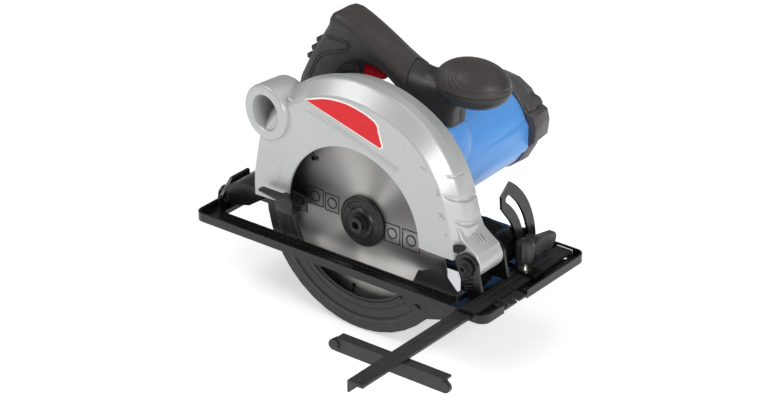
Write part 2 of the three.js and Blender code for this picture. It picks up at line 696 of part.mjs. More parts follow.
// The red side plate: a long triangle with a curved upper edge, without lettering.
function sidePlate() {
  const at = (x, z) => [x * guardScale, arborZ + z * guardScale];
  const shape = new THREE.Shape();
  shape.moveTo(...at(-53, 105.6));
  shape.quadraticCurveTo(...at(-16, 124), ...at(23, 107.7));
  shape.quadraticCurveTo(...at(27, 105), ...at(27.5, 97));
  shape.lineTo(...at(31, 86));
  shape.quadraticCurveTo(...at(32, 81), ...at(26, 83));
  return plateY(shape, guardNearY - clearance - 0.6, guardNearY - clearance, 10);
}

add('upper_guard', upperGuard(), silverPaint);
add('side_plate', sidePlate(), redPlastic);

// ---------- gear case and motor housing ----------
function caseOutline(grow) {
  const shape = new THREE.Shape();
  const small = gearCaseRadius + grow;
  const large = motorRadius + 4 + grow;
  shape.absarc(0, arborZ, small, degrees(182), degrees(345), false);
  shape.absarc(motorX, motorZ, large, degrees(-15), degrees(190), false);
  return shape;
}

function gearCase() {
  const nearY = guardFarY + clearance;
  const outer = plateY(caseOutline(0), nearY, gearCaseFarY, 6);
  const inner = plateY(caseOutline(-gearCaseWall), gearNearY - 1.5, gearCaseFarY - gearCaseWall, 6);
  const opening = rodY(0, arborZ, 12, nearY - 1, gearNearY, 32);
  const spindleSeat = rodY(0, arborZ, 8.3, gearCaseFarY - 6, gearCaseFarY + 1, 32);
  const motorOpening = rodY(motorX, motorZ, 14.3, gearCaseFarY - 6, gearCaseFarY + 1, 32);
  const lockHole = rodY(lockX, lockZ, lockPinRadius + clearance, gearCaseFarY - 4, gearCaseFarY + 1, 16);
  return cut(outer, inner, opening, spindleSeat, motorOpening, lockHole);
}

const motorNearY = gearCaseFarY + clearance;
const saddleTopZ = housingTopZ + 8;

function saddleOutline(grow) {
  return roundedRect(-20 - grow, 22 + grow, 48 - grow, handleMidY + 14 + grow, 5);
}

function handleSaddle() {
  return plateZ(saddleOutline(0), motorZ + 20, saddleTopZ, 5);
}

function motorHousing() {
  const taper = (motorFarY - motorNearY) * Math.tan(degrees(motorDraft));
  const outer = turnedY(motorX, motorZ, [
    [0, motorNearY], [motorRadius + 4, motorNearY], [motorRadius + 4, motorNearY + 6],
    [motorRadius + 0.5, motorNearY + 10], [motorRadius + 1 - taper, motorFarY], [0, motorFarY],
  ], 32);
  const inner = turnedY(motorX, motorZ, [
    [0, motorNearY + 5], [motorRadius - motorWall, motorNearY + 5],
    [motorRadius - motorWall, statorNearY - 1], [statorOuterRadius + clearance, statorNearY - 1],
    [statorOuterRadius + clearance, motorFarY + 1], [0, motorFarY + 1],
  ], 24);
  const shaftHole = rodY(motorX, motorZ, 14.3, motorNearY - 1, motorNearY + 8, 32);
  const capHoles = rodZ(motorX, brushY, 6 + clearance, motorZ - 2 * motorRadius, motorZ + 2 * motorRadius, 24);
  const lockRelief = rodY(lockX, lockZ, 4.5 + 2 * clearance, motorNearY - 1, gearCaseFarY + 9, 24);
  return cut(union(outer, handleSaddle()), inner, shaftHole, capHoles, lockRelief);
}

function endCap() {
  const nearY = motorFarY + clearance;
  const outer = turnedY(motorX, motorZ, [
    [0, nearY], [motorRadius + 1.5, nearY], [motorRadius + 2.5, nearY + 4], [motorRadius + 2, nearY + 16],
    [motorRadius - 2, nearY + 20], [motorRadius - 4, capFarY - 5], [motorRadius - 9, capFarY], [0, capFarY],
  ], 24);
  const inner = turnedY(motorX, motorZ, [
    [0, nearY - 1], [motorRadius - 3, nearY - 1], [motorRadius - 3, nearY + 14],
    [motorRadius - 9, capFarY - 7], [motorRadius - 12, capFarY - 3], [0, capFarY - 3],
  ], 24);
  const vents = Array.from({ length: 5 }, (_, i) =>
    box(motorX - 24, motorX + 24, capFarY - 5, capFarY + 1, motorZ - 22 + i * 10, motorZ - 18 + i * 10));
  return cut(outer, inner, ...vents);
}

add('gear_case', gearCase(), silverPaint);
add('motor_housing', motorHousing(), bluePlastic);
add('end_cap', endCap(), charcoalPlastic);

// ---------- handle ----------
function handleShape() {
  const shape = new THREE.Shape();
  shape.moveTo(-112, 84);
  shape.lineTo(-118, 104);
  shape.lineTo(-111, 127);
  shape.lineTo(-104, 146);
  shape.lineTo(-88, 171);
  shape.lineTo(-79, 181);
  shape.lineTo(-79, 190);
  shape.quadraticCurveTo(-74, 200, -60, 197);
  shape.lineTo(-44, 190);
  shape.lineTo(-12, 177);
  shape.quadraticCurveTo(14, 167, 34, 170);
  shape.lineTo(62, 168);
  shape.lineTo(62, 150);
  shape.quadraticCurveTo(57, 140, 60, 126);
  shape.quadraticCurveTo(60, 111, 48, 110);
  shape.lineTo(28, 108);
  shape.lineTo(26, 126);
  shape.quadraticCurveTo(24, 138, 8, 140);
  shape.lineTo(-18, 149);
  shape.lineTo(-40, 150);
  shape.quadraticCurveTo(-50, 147, -50, 138);
  shape.quadraticCurveTo(-52, 122, -38, 118);
  shape.lineTo(-30, 112);
  shape.lineTo(-36, 84);
  return shape;
}

const screwPlaces = [[-99, 124 + handleLift], [44, 132 + handleLift]];
const handleNearY = handleMidY - handleHalfWidth;
const handleFarY = handleMidY + handleHalfWidth;

function handleBlock(inset, round, roundSteps) {
  const width = 2 * (handleHalfWidth - inset);
  const geometry = extrude(handleShape(), width - 2 * round, 3, {
    bevelThickness: round, bevelSize: round, bevelOffset: -round - inset, bevelSegments: roundSteps,
  });
  geometry.applyMatrix4(alongY);
  geometry.translate(0, handleMidY + width / 2 - round, handleLift);
  return toSolid(geometry);
}

function knobBall(grow) {
  const geometry = new THREE.SphereGeometry(1, 18, 12);
  geometry.scale(knobHalfLength + grow, knobHalfWidth + grow, knobHalfHeight + grow);
  geometry.translate(knobX, handleMidY, knobZ);
  return toSolid(geometry);
}

const knobSeamZ = knobZ - 6;

function handleHalf(sign) {
  const posts = screwPlaces.map(([x, z]) => rodY(x, z, 5, handleNearY + 1, handleFarY - 1, 14));
  const holes = screwPlaces.map(([x, z]) => union(rodY(x, z, 2.3, handleNearY + 6, handleFarY + 1, 12),
    rodY(x, z, 4.6, handleFarY - 2.2, handleFarY + 1, 14)));
  const shell = union(cut(handleBlock(0, handleRound, 2), handleBlock(handleWall, 2, 1)), ...posts);
  const buttonHole = rodY(lockOffX, lockOffZ, lockOffRadius + clearance, handleNearY - 1, handleNearY + 5, 20);
  const glandHole = rodX(handleMidY, glandZ, glandRadius + clearance, -130, -100, 20);
  const full = cut(shell, buttonHole, glandHole, ...holes);
  const y0 = sign < 0 ? handleNearY - 1 : handleMidY + clearance / 2;
  const y1 = sign < 0 ? handleMidY - clearance / 2 : handleFarY + 1;
  const half = full.intersect(box(-200, 200, y0, y1, 0, 300));
  const housingCut = rodY(motorX, motorZ, motorRadius + 1 + clearance, 30, 120, 32);
  const flangeCut = rodY(motorX, motorZ, motorRadius + 4 + clearance, 30, motorNearY + 12, 32);
  const saddleCut = plateZ(saddleOutline(clearance), motorZ, saddleTopZ + clearance, 5);
  const triggerSlot = box(-53, -17, handleMidY - 8, handleMidY + 8, 128 + handleLift, 160 + handleLift);
  return cut(half, knobBall(clearance), housingCut, flangeCut, saddleCut, triggerSlot);
}

function knobBowl() {
  const lower = knobBall(-0.8).intersect(box(0, 200, 0, 200, 0, knobSeamZ - clearance));
  const hollow = knobBall(-4).intersect(box(0, 200, 0, 200, 0, knobSeamZ + 1));
  return lower.subtract(hollow);
}

function knobPad() {
  const upper = knobBall(0).intersect(box(0, 200, 0, 200, knobSeamZ, 300));
  const hollow = knobBall(-4).intersect(box(0, 200, 0, 200, knobSeamZ - 1, 300));
  return upper.subtract(hollow);
}

add('handle_near', handleHalf(-1), charcoalPlastic);
add('handle_far', handleHalf(1), charcoalPlastic);
add('knob_bowl', knobBowl(), charcoalPlastic);
add('knob_pad', knobPad(), softGrip);

function handleScrew([x, z]) {
  const shank = rodY(x, z, 1.9, handleNearY + 8, handleFarY - 1, 10);
  const head = rodY(x, z, 4.2, handleFarY - 1.9, handleFarY - 0.3, 14);
  const slotCut = box(x - 5, x + 5, handleFarY - 1.3, handleFarY, z - 0.6, z + 0.6);
  return cut(shank.add(head), slotCut);
}

function cordGland() {
  const sleeve = rodX(handleMidY, glandZ, glandRadius, -128, -106, 20);
  const collar = rodX(handleMidY, glandZ, glandRadius + 2, -124, -120.5, 20);
  return cut(sleeve.add(collar), rodX(handleMidY, glandZ, 4, -130, -100, 16));
}

function switchBody() {
  const body = box(-55, -27, handleMidY - 9, handleMidY + 9, 163.5, 175);
  const plunger = box(-40, -34, handleMidY - 3, handleMidY + 3, 162.6, 164);
  return body.add(plunger).translate([0, 0, handleLift]);
}

function trigger() {
  const shape = new THREE.Shape();
  shape.moveTo(-22, 157.5);
  shape.lineTo(-47, 157.5);
  shape.lineTo(-49.5, 142);
  shape.quadraticCurveTo(-48, 131, -40, 133);
  shape.quadraticCurveTo(-36, 140, -27, 141);
  shape.quadraticCurveTo(-22, 143, -21, 150);
  return plateY(shape, handleMidY - 6.5, handleMidY + 6.5, 5).translate([0, 0, handleLift]);
}

function lockOffButton() {
  return union(rodY(lockOffX, lockOffZ, lockOffRadius, handleNearY - 1.5, handleNearY + 5, 20),
    rodY(lockOffX, lockOffZ, lockOffRadius + 1.5, handleNearY + handleWall + clearance, handleNearY + 5, 20));
}

add('handle_screw_rear', handleScrew(screwPlaces[0]), zincSteel);
add('handle_screw_front', handleScrew(screwPlaces[1]), zincSteel);
add('cord_gland', cordGland(), rubber);
add('switch_body', switchBody(), charcoalPlastic);
add('trigger', trigger(), redPlastic);
add('lock_off_button', lockOffButton(), charcoalPlastic);

// ---------- depth lock and spindle lock ----------
function depthLever() {
  const y0 = depthGuideNearY + depthGuideSheet + slideGap;
  const bolt = rodY(depthBoltX, depthBoltZ, 3, cavityFarY + 4, y0 + 8, 20);
  const hub = rodY(depthBoltX, depthBoltZ, 8, y0, y0 + 8, 24);
  const arm = plateY(polygon([
    [depthBoltX - 5, depthBoltZ - 5], [depthBoltX + 5, depthBoltZ - 5],
    [depthBoltX + 8, depthBoltZ + 32], [depthBoltX - 1, depthBoltZ + 32],
  ]), y0 + 3, y0 + 8);
  return union(bolt, hub, arm);
}

function spindleLock() {
  return union(rodY(lockX, lockZ, lockPinRadius, gearCaseFarY - 4.5, gearCaseFarY + 5, 16),
    rodY(lockX, lockZ, 4.5, gearCaseFarY + 3.5, gearCaseFarY + 8, 20));
}

// ---------- lower guard ----------
// A sector of a flat ring about the arbor, in degrees that grow from rear to front.
function sector(outer, inner, from, to) {
  const shape = new THREE.Shape();
  shape.absarc(0, arborZ, outer, degrees(from), degrees(to), false);
  shape.absarc(0, arborZ, inner, degrees(to), degrees(from), true);
  return shape;
}

const guardHubRadius = 22;
const leverTabInner = 56 * guardScale;

function lowerGuard() {
  const near = lowerGuardNearY;
  const far = lowerGuardFarY;
  const nearWall = plateY(sector(lowerGuardRadius, lowerGuardWindowRadius, 180, 341), near, near + lowerGuardWall, 8);
  const rim = plateY(sector(lowerGuardRadius, lowerGuardRadius - lowerGuardWall, 180, 318), near, far, 8);
  const farWall = plateY(sector(lowerGuardRadius, guardHubRadius + 2, 182, 318), far - lowerGuardWall, far, 8);
  const hub = ringY(0, arborZ, guardHubRadius + 4, guardHubRadius + slideGap, far - lowerGuardWall, far + 2.4, 24);
  const tab = plateY(sector(lowerGuardWindowRadius + 1, leverTabInner, 172, 186), near, near + lowerGuardWall, 3);
  const tabRoot = plateY(sector(lowerGuardRadius - 3, lowerGuardWindowRadius, 172, 184), near, near + lowerGuardWall, 3);
  const at = (x, z) => [x * guardScale, arborZ + z * guardScale];
  const tailShape = new THREE.Shape();
  tailShape.moveTo(...at(74, -68));
  tailShape.lineTo(...at(92, -62.5));
  tailShape.quadraticCurveTo(...at(106, -54), ...at(108, -32));
  [[98.5, -22.6], [90, -12.8], [82, -16.6], [66, -24], [58, -42]]
    .forEach(([x, z]) => tailShape.lineTo(...at(x, z)));
  const tail = plateY(tailShape, near, near + lowerGuardWall, 5);
  const lip = new THREE.Shape();
  lip.moveTo(...at(74, -68));
  lip.lineTo(...at(92, -62.5));
  lip.quadraticCurveTo(...at(106, -54), ...at(108, -32));
  lip.lineTo(...at(106, -32));
  lip.quadraticCurveTo(...at(104, -53), ...at(91, -60.5));
  lip.lineTo(...at(73, -66));
  const tailRim = plateY(lip, near, far, 5);
  return union(nearWall, rim, farWall, hub, tab, tabRoot, tail, tailRim);
}

function guardLever() {
  const outerY = guardNearY - 7;
  const frontX = -leverTabInner;
  const plate = plateY(roundedRect(frontX - 42, frontX, arborZ - 3, arborZ + 13, 3), outerY, outerY + 4.4, 3);
  const block = box(2.5 - guardWindowRadius, frontX - 1, outerY + 3, lowerGuardNearY - clearance, arborZ - 2, arborZ + 6);
  return plate.add(block);
}

function guardRivet() {
  const angle = degrees(-43);
  const reach = lowerGuardRadius - 13;
  return rodY(reach * Math.cos(angle), arborZ + reach * Math.sin(angle), 3.2,
    lowerGuardNearY - clearance - 1.2, lowerGuardNearY - clearance, 16);
}

function guardSpring() {
  return ringY(0, arborZ, 33, 28, lowerGuardFarY + clearance, cavityFarY - clearance, 20);
}

// ---------- spindle and blade ----------
const bladeHalf = bladeThickness / 2;
const flangeGap = bladeHalf + clearance;
const innerFlangeFarY = lowerGuardFarY - lowerGuardWall - slideGap;

function sawBlade() {
  const pitch = 2 * Math.PI / bladeTeeth;
  const shape = new THREE.Shape();
  const at = (radius, angle) => [radius * Math.cos(angle), arborZ + radius * Math.sin(angle)];
  for (let i = 0; i < bladeTeeth; i += 1) {
    const start = i * pitch;
    const points = [at(bladeRadius - 11, start), at(bladeRadius, start + 0.02 * pitch),
      at(bladeRadius - 3.5, start + 0.32 * pitch), at(bladeRadius - 8, start + 0.72 * pitch),
      at(bladeRadius - 12.5, start + 0.88 * pitch)];
    points.forEach(([x, z], k) => (i === 0 && k === 0 ? shape.moveTo(x, z) : shape.lineTo(x, z)));
  }
  const disc = plateY(shape, -bladeHalf, bladeHalf, 1);
  const bore = rodY(0, arborZ, boreRadius, -3, 3, 24);
  const slots = Array.from({ length: 4 }, (_, i) => {
    const angle = degrees(143 + i * 90);
    const slit = box(bladeRadius - 23, bladeRadius - 3, -3, 3, -0.6, 0.6)
      .add(rodY(bladeRadius - 24, 0, 2.4, -3, 3, 12));
    return slit.rotate([0, -THREE.MathUtils.radToDeg(angle), 0]).translate([0, 0, arborZ]);
  });
  return cut(disc, bore, ...slots);
}

function outerFlange() {
  const body = turnedY(0, arborZ, [[4.3, -flangeGap], [flangeRadius, -flangeGap], [flangeRadius, -4.6],
    [flangeRadius - 1.5, -5.5], [14, -5.5], [13, -7.5], [4.3, -7.5]], 24);
  const pinHoles = [30, 210].map((angle) => rodY(17.5 * Math.cos(degrees(angle)),
    arborZ + 17.5 * Math.sin(degrees(angle)), 2.2, -9, 0, 12));
  return cut(body, ...pinHoles);
}

function innerFlange() {
  return turnedY(0, arborZ, [[spindleRadius + clearance, -bladeHalf], [boreRadius - clearance, -bladeHalf],
    [boreRadius - clearance, flangeGap], [flangeRadius - 2.5, flangeGap],
    [flangeRadius - 2.5, innerFlangeFarY], [spindleRadius + clearance, innerFlangeFarY]], 20);
}

function spindle() {
  const body = turnedY(0, arborZ, [[0, -bladeHalf], [spindleRadius, -bladeHalf], [spindleRadius, gearNearY + gearWidth + 1],
    [5, gearNearY + gearWidth + 1], [5, gearCaseFarY - 0.5], [0, gearCaseFarY - 0.5]], 16);
  return cut(body, rodY(0, arborZ, 4, -3, 16, 20));
}

function bladeBolt() {
  const seatY = -7.5 - clearance;
  const bolt = union(rodY(0, arborZ, 3.6, seatY - 1, 14, 20), rodY(0, arborZ, 9, seatY - 1.5, seatY, 20),
    rodY(0, arborZ, 7.2, seatY - 6, seatY - 1, 16));
  return cut(bolt, rodY(0, arborZ, 4, seatY - 7, seatY - 2, 6));
}

// ---------- gears ----------
// Straight-flanked teeth a little thinner than half the pitch, so that the pair runs freely.
function spurShape(cx, cz, teeth, phase, bore) {
  const pitchRadius = gearModule * teeth / 2;
  const tip = pitchRadius + gearModule * 0.8;
  const root = pitchRadius - gearModule * 1.1;
  const pitch = 2 * Math.PI / teeth;
  const half = pitch / 4 - toothBacklash / pitchRadius / 2;
  const shape = new THREE.Shape();
  for (let i = 0; i < teeth; i += 1) {
    const middle = phase + i * pitch;
    [[root, -1.5 * half], [tip, -0.45 * half], [tip, 0.45 * half], [root, 1.5 * half]].forEach(([radius, offset], k) => {
      const x = cx + radius * Math.cos(middle + offset);
      const z = cz + radius * Math.sin(middle + offset);
      if (i === 0 && k === 0) shape.moveTo(x, z);
      else shape.lineTo(x, z);
    });
  }
  if (bore > 0) {
    const hole = new THREE.Path();
    hole.absarc(cx, cz, bore, 0, 2 * Math.PI, true);
    shape.holes.push(hole);
  }
  return shape;
}

function driveGear() {
  return plateY(spurShape(0, arborZ, gearTeeth, degrees(gearAxisAngle), spindleRadius + clearance),
    gearNearY, gearNearY + gearWidth, 10);
}

const shaftNearY = gearNearY - 0.5;
const bearingFarY = motorNearY + 3.5;

function armatureShaft() {
  const facing = degrees(gearAxisAngle + 180 + 180 / pinionTeeth);
  const pinion = plateY(spurShape(motorX, motorZ, pinionTeeth, facing, 0), shaftNearY, gearNearY + gearWidth + 1, 1);
  return union(pinion, rodY(motorX, motorZ, shaftRadius, gearNearY + gearWidth, motorFarY, 20));
}

const fanY = motorNearY + 9;
const fanBlades = 9;

function coolingFan() {
  const hub = ringY(motorX, motorZ, 9, shaftRadius + clearance, fanY, fanY + 11, 16);
  const discRadius = motorRadius - 8;
  const disc = ringY(motorX, motorZ, discRadius, 8, fanY, fanY + 1.8, 24);
  const blades = Array.from({ length: fanBlades }, (_, i) => box(14, discRadius - 1, 0, 9, -0.8, 0.8)
    .rotate([0, i * 360 / fanBlades, 0]).translate([motorX, fanY + 1, motorZ]));
  return union(hub, disc, ...blades);
}

function armatureCore() {
  const ring = ringY(motorX, motorZ, armatureRadius, shaftRadius + clearance, statorNearY + 2, statorFarY - 2, 20);
  const ends = ringY(motorX, motorZ, armatureRadius - 4, shaftRadius + clearance, statorNearY - 4, statorFarY + 4, 16);
  return ring.add(ends);
}

const commutatorRadius = 12;

function commutator() {
  return ringY(motorX, motorZ, commutatorRadius, shaftRadius + clearance, commutatorY, commutatorY + 14, 20);
}

// ---------- stator, bearings and brushes ----------
function stator() {
  return ringY(motorX, motorZ, statorOuterRadius, armatureRadius + airGap, statorNearY, statorFarY, 24);
}

function fieldCoil(y0, y1) {
  return ringY(motorX, motorZ, statorOuterRadius - 3, armatureRadius + 2, y0, y1, 20);
}

// sign is 1 for the upper brush and -1 for the lower one.
function brushPieces(sign) {
  const radial = (x0, x1, y0, y1, r0, r1) => box(x0, x1, y0, y1,
    Math.min(motorZ + sign * r0, motorZ + sign * r1), Math.max(motorZ + sign * r0, motorZ + sign * r1));
  const brush = radial(motorX - 3, motorX + 3, brushY - 3.5, brushY + 3.5, commutatorRadius + clearance, 27);
  const tubeEnd = statorOuterRadius - 1;
  const tube = radial(motorX - 5, motorX + 5, brushY - 5.5, brushY + 5.5, 16, tubeEnd);
  const bore = radial(motorX - 3.3, motorX + 3.3, brushY - 3.8, brushY + 3.8, 15, tubeEnd + 1);
  const capLow = motorZ + sign * (tubeEnd + 0.6);
  const capHigh = motorZ + sign * (motorRadius + 0.4);
  const cap = rodZ(motorX, brushY, 6, Math.min(capLow, capHigh), Math.max(capLow, capHigh), 20);
  const slotCut = box(motorX - 7, motorX + 7, brushY - 0.7, brushY + 0.7,
    Math.min(capHigh, capHigh - sign * 1.5), Math.max(capHigh, capHigh + sign) + 0.01);
  return { brush, holder: tube.subtract(bore), cap: cap.subtract(slotCut) };
}

function bearing(x, z, outer, inner, y0, y1) {
  return ringY(x, z, outer, inner, y0, y1, 20);
}

const rearBearingY = motorFarY - 9;

function bearingBridge() {
  const y0 = rearBearingY - 1;
  const y1 = rearBearingY + 8;
  const hub = ringY(motorX, motorZ, 14, 11 + clearance, y0, y1, 20);
  const rim = ringY(motorX, motorZ, statorOuterRadius, statorOuterRadius - 3, y0, y1, 24);
  const spoke = statorOuterRadius - 1;
  const spokes = union(box(motorX - spoke, motorX + spoke, y0, y0 + 5, motorZ - 4, motorZ + 4),
    box(motorX - 4, motorX + 4, y0, y0 + 5, motorZ - spoke, motorZ + spoke));
  return cut(union(hub, rim, spokes), rodY(motorX, motorZ, 11 + clearance, y0 - 1, y1 + 1, 20));
}

function guardBumper() {
  const block = box(depthPivotX - 12.7, depthPivotX - 7.5, -14.5, -9.8, depthPivotZ + 11, depthPivotZ + 17);
  const button = rodY(depthPivotX - 5.3, depthPivotZ + 15.5, 2.4, -14.5, -9.8, 16);
  const bridge = box(depthPivotX - 8, depthPivotX - 5.3, -13, -10.5, depthPivotZ + 14.5, depthPivotZ + 16.5);
  return union(block, button, bridge);
}

add('depth_lever', depthLever(), charcoalPlastic);
add('spindle_lock', spindleLock(), charcoalPlastic);
add('lower_guard', lowerGuard(), blackPaint);
add('guard_lever', guardLever(), charcoalPlastic);
add('guard_rivet', guardRivet(), zincSteel);
add('guard_spring', guardSpring(), brushedSteel);
add('saw_blade', sawBlade(), brushedSteel);
add('outer_flange', outerFlange(), darkSteel);
add('inner_flange', innerFlange(), darkSteel);
add('spindle', spindle(), brushedSteel);
add('blade_bolt', bladeBolt(), darkSteel);
add('drive_gear', driveGear(), brushedSteel);
add('armature_shaft', armatureShaft(), brushedSteel);
add('armature_core', armatureCore(), darkSteel);
add('commutator', commutator(), copper);
add('cooling_fan', coolingFan(), charcoalPlastic);
add('stator', stator(), darkSteel);
add('field_coil_front', fieldCoil(statorNearY - 8, statorNearY - clearance), copper);
add('field_coil_rear', fieldCoil(statorFarY + clearance, statorFarY + 8), copper);
['upper', 'lower'].forEach((place, i) => {
  const pieces = brushPieces(i === 0 ? 1 : -1);
  add(`brush_${place}`, pieces.brush, darkSteel);
  add(`brush_holder_${place}`, pieces.holder, brushedSteel);
  add(`brush_cap_${place}`, pieces.cap, charcoalPlastic);
});
add('spindle_bearing', bearing(0, arborZ, 14, spindleRadius + clearance, 12, 22), brushedSteel);
add('spindle_end_bearing', ringY(0, arborZ, 8, 5.3, gearCaseFarY - 5.5, gearCaseFarY - 0.3, 24), brushedSteel);
add('motor_bearing_front', bearing(motorX, motorZ, 14, shaftRadius + clearance, gearCaseFarY - 5, bearingFarY), brushedSteel);
add('motor_bearing_rear', bearing(motorX, motorZ, 11, shaftRadius + clearance, rearBearingY, rearBearingY + 7), brushedSteel);
add('bearing_bridge', bearingBridge(), charcoalPlastic);
add('guard_bumper', guardBumper(), rubber);

saw.position.set(0, -(slotFarY + baseFarY) / 2, 0);
export default saw;
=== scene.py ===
import json
import math

import bmesh
import bpy
import numpy as np
from mathutils import Matrix, Vector


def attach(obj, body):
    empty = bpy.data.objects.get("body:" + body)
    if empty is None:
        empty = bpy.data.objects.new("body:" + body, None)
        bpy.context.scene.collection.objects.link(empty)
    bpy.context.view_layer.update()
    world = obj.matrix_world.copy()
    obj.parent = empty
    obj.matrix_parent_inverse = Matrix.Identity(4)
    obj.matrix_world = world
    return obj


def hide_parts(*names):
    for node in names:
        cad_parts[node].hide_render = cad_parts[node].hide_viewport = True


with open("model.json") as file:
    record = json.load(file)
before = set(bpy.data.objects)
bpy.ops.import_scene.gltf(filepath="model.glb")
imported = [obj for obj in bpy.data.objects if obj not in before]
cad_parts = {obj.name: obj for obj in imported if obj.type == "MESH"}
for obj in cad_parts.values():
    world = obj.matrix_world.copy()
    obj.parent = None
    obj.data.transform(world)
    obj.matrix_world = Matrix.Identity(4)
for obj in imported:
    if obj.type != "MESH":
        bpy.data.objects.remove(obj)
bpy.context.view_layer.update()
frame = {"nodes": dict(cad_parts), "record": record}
nodes = frame["nodes"]
bodyOf = {n: b for b, members in frame["record"]["behaviour"]["bodies"].items() for n in members}

# Pieces are drawn in millimetres. x and y are from the arbor, and z from the underside of the base.
millimetre = 0.001
saw = {
    "baseMiddleY": 72,
    "arborZ": 37.3,
    "motorX": 7.42,
    "motorZ": 70.2,
    "pivotX": 118.5,
    "pivotZ": 35.3,
    "noseRadius": 12,
    "bladeTeeth": 18,
}
place = Matrix.Scale(millimetre, 4) @ Matrix.Translation((0, -saw["baseMiddleY"], 0))
arbor = Vector((0, 0, saw["arborZ"]))
motorAxis = Vector((saw["motorX"], 0, saw["motorZ"]))


# Materials.
def linear(code):
    # A hexadecimal colour as the linear values that a shader takes.
    parts = [int(code[i:i + 2], 16) / 255 for i in (1, 3, 5)]
    return [c / 12.92 if c <= 0.04045 else ((c + 0.055) / 1.055) ** 2.4 for c in parts] + [1]


def addNode(tree, kind, settings, links=None):
    # A shader node with its values set and its inputs linked.
    made = tree.nodes.new(kind)
    for key, value in settings.items():
        if isinstance(key, int) or key in made.inputs:
            made.inputs[key].default_value = value
        else:
            setattr(made, key, value)
    for key, socket in (links or {}).items():
        tree.links.new(socket, made.inputs[key])
    return made


def finish(name, look):
    # A surface from its base values, a mottle in colour and roughness, and one or two grains as bump.
    material = bpy.data.materials.new(name)
    material.use_nodes = True
    tree = material.node_tree
    tree.nodes.clear()
    where = addNode(tree, "ShaderNodeTexCoord", {}).outputs["Object"]
    if "stretch" in look:
        where = addNode(tree, "ShaderNodeMapping", {"Scale": look["stretch"]}, {"Vector": where}).outputs[0]
    shader = addNode(tree, "ShaderNodeBsdfPrincipled", {
        "Metallic": look.get("metallic", 0.0), "Coat Weight": look.get("coat", 0.0), "Coat Roughness": 0.18,
        "Specular IOR Level": look.get("specular", 0.5), "Sheen Weight": look.get("sheen", 0.0)})
    mottle = addNode(tree, "ShaderNodeTexNoise", {"Scale": 1000 / look["mottleSize"], "Detail": 3.0},
                     {"Vector": where})
    tone = addNode(tree, "ShaderNodeMapRange", {"From Min": 0.3, "From Max": 0.7},
                   {"Value": mottle.outputs[0]})
    colour = addNode(tree, "ShaderNodeMix", {
        "data_type": "RGBA", 6: linear(look["colour"]), 7: linear(look["shade"])}, {0: tone.outputs[0]})
    tree.links.new(colour.outputs[2], shader.inputs["Base Color"])
    low, high = look["roughness"]
    rough = addNode(tree, "ShaderNodeMapRange", {
        "From Min": 0.3, "From Max": 0.7, "To Min": low, "To Max": high}, {"Value": mottle.outputs[0]})
    tree.links.new(rough.outputs[0], shader.inputs["Roughness"])
    normal = None
    for size, depth in look["grains"]:
        grain = addNode(tree, "ShaderNodeTexNoise", {"Scale": 1000 / size, "Detail": 2.0}, {"Vector": where})
        bump = addNode(tree, "ShaderNodeBump", {"Strength": 0.6, "Distance": depth * millimetre},
                       {"Height": grain.outputs[0], **({"Normal": normal} if normal else {})})
        normal = bump.outputs[0]
    if normal:
        tree.links.new(normal, shader.inputs["Normal"])
    tree.links.new(shader.outputs[0], addNode(tree, "ShaderNodeOutputMaterial", {}).inputs[0])
    return material, tree, shader


def turnedSteelPaintedFans(name, look):
    # Circular grinding about the arbor: fine rings in roughness and bump, and a painted highlight and painted
    # shade in fans in the base colour.
    material, tree, shader = finish(name, look)
    where = addNode(tree, "ShaderNodeTexCoord", {}).outputs["Object"]
    centre = place @ arbor
    offset = addNode(tree, "ShaderNodeVectorMath", {"operation": "SUBTRACT", 1: centre}, {0: where})
    flat = addNode(tree, "ShaderNodeVectorMath", {"operation": "MULTIPLY", 1: (1, 0, 1)},
                   {0: offset.outputs[0]})
    tree.links.new(flat.outputs[0], shader.inputs["Tangent"])
    radius = addNode(tree, "ShaderNodeVectorMath", {"operation": "LENGTH"}, {0: flat.outputs[0]})
    rings = addNode(tree, "ShaderNodeTexNoise", {
        "noise_dimensions": "1D", "Scale": 1000 / look["ringSpacing"], "Detail": 4.0},
        {"W": radius.outputs["Value"]})
    rough = addNode(tree, "ShaderNodeMapRange", {
        "From Min": 0.25, "From Max": 0.75, "To Min": look["roughness"][0], "To Max": look["roughness"][1]},
        {"Value": rings.outputs[0]})
    tree.links.new(rough.outputs[0], shader.inputs["Roughness"])
    bump = addNode(tree, "ShaderNodeBump", {"Strength": 0.2, "Distance": look["ringDepth"] * millimetre},
                   {"Height": rings.outputs[0]})
    tree.links.new(bump.outputs[0], shader.inputs["Normal"])
    # Painted highlight and painted shade: the base colour runs between light and dark fans by angle about the
    # arbor, standing in for grinding lines that turn toward the light and away from it.
    parts = addNode(tree, "ShaderNodeSeparateXYZ", {}, {0: offset.outputs[0]})
    angle = addNode(tree, "ShaderNodeMath", {"operation": "ARCTAN2"},
                    {0: parts.outputs["Z"], 1: parts.outputs["X"]})
    aroundShare = addNode(tree, "ShaderNodeMapRange", {"From Min": -math.pi, "From Max": math.pi},
                          {"Value": angle.outputs[0]})
    ramp = addNode(tree, "ShaderNodeValToRGB", {}, {0: aroundShare.outputs[0]})
    ramp.color_ramp.interpolation = "B_SPLINE"
    for degree, level in look["paintedFanLevels"]:
        stop = ramp.color_ramp.elements.new((degree + 180) / 360)
        stop.color = (level, level, level, 1)
    for stop in (ramp.color_ramp.elements[0], ramp.color_ramp.elements[-1]):
        stop.color = (look["paintedFanLevels"][0][1],) * 3 + (1,)
    paintedFanColour = addNode(tree, "ShaderNodeMix", {
        "data_type": "RGBA", 6: linear(look["paintedShadeColour"]), 7: linear(look["colour"])}, {0: ramp.outputs[0]})
    tree.links.new(paintedFanColour.outputs[2], shader.inputs["Base Color"])
    shader.inputs["Anisotropic"].default_value = look["anisotropy"]
    return material


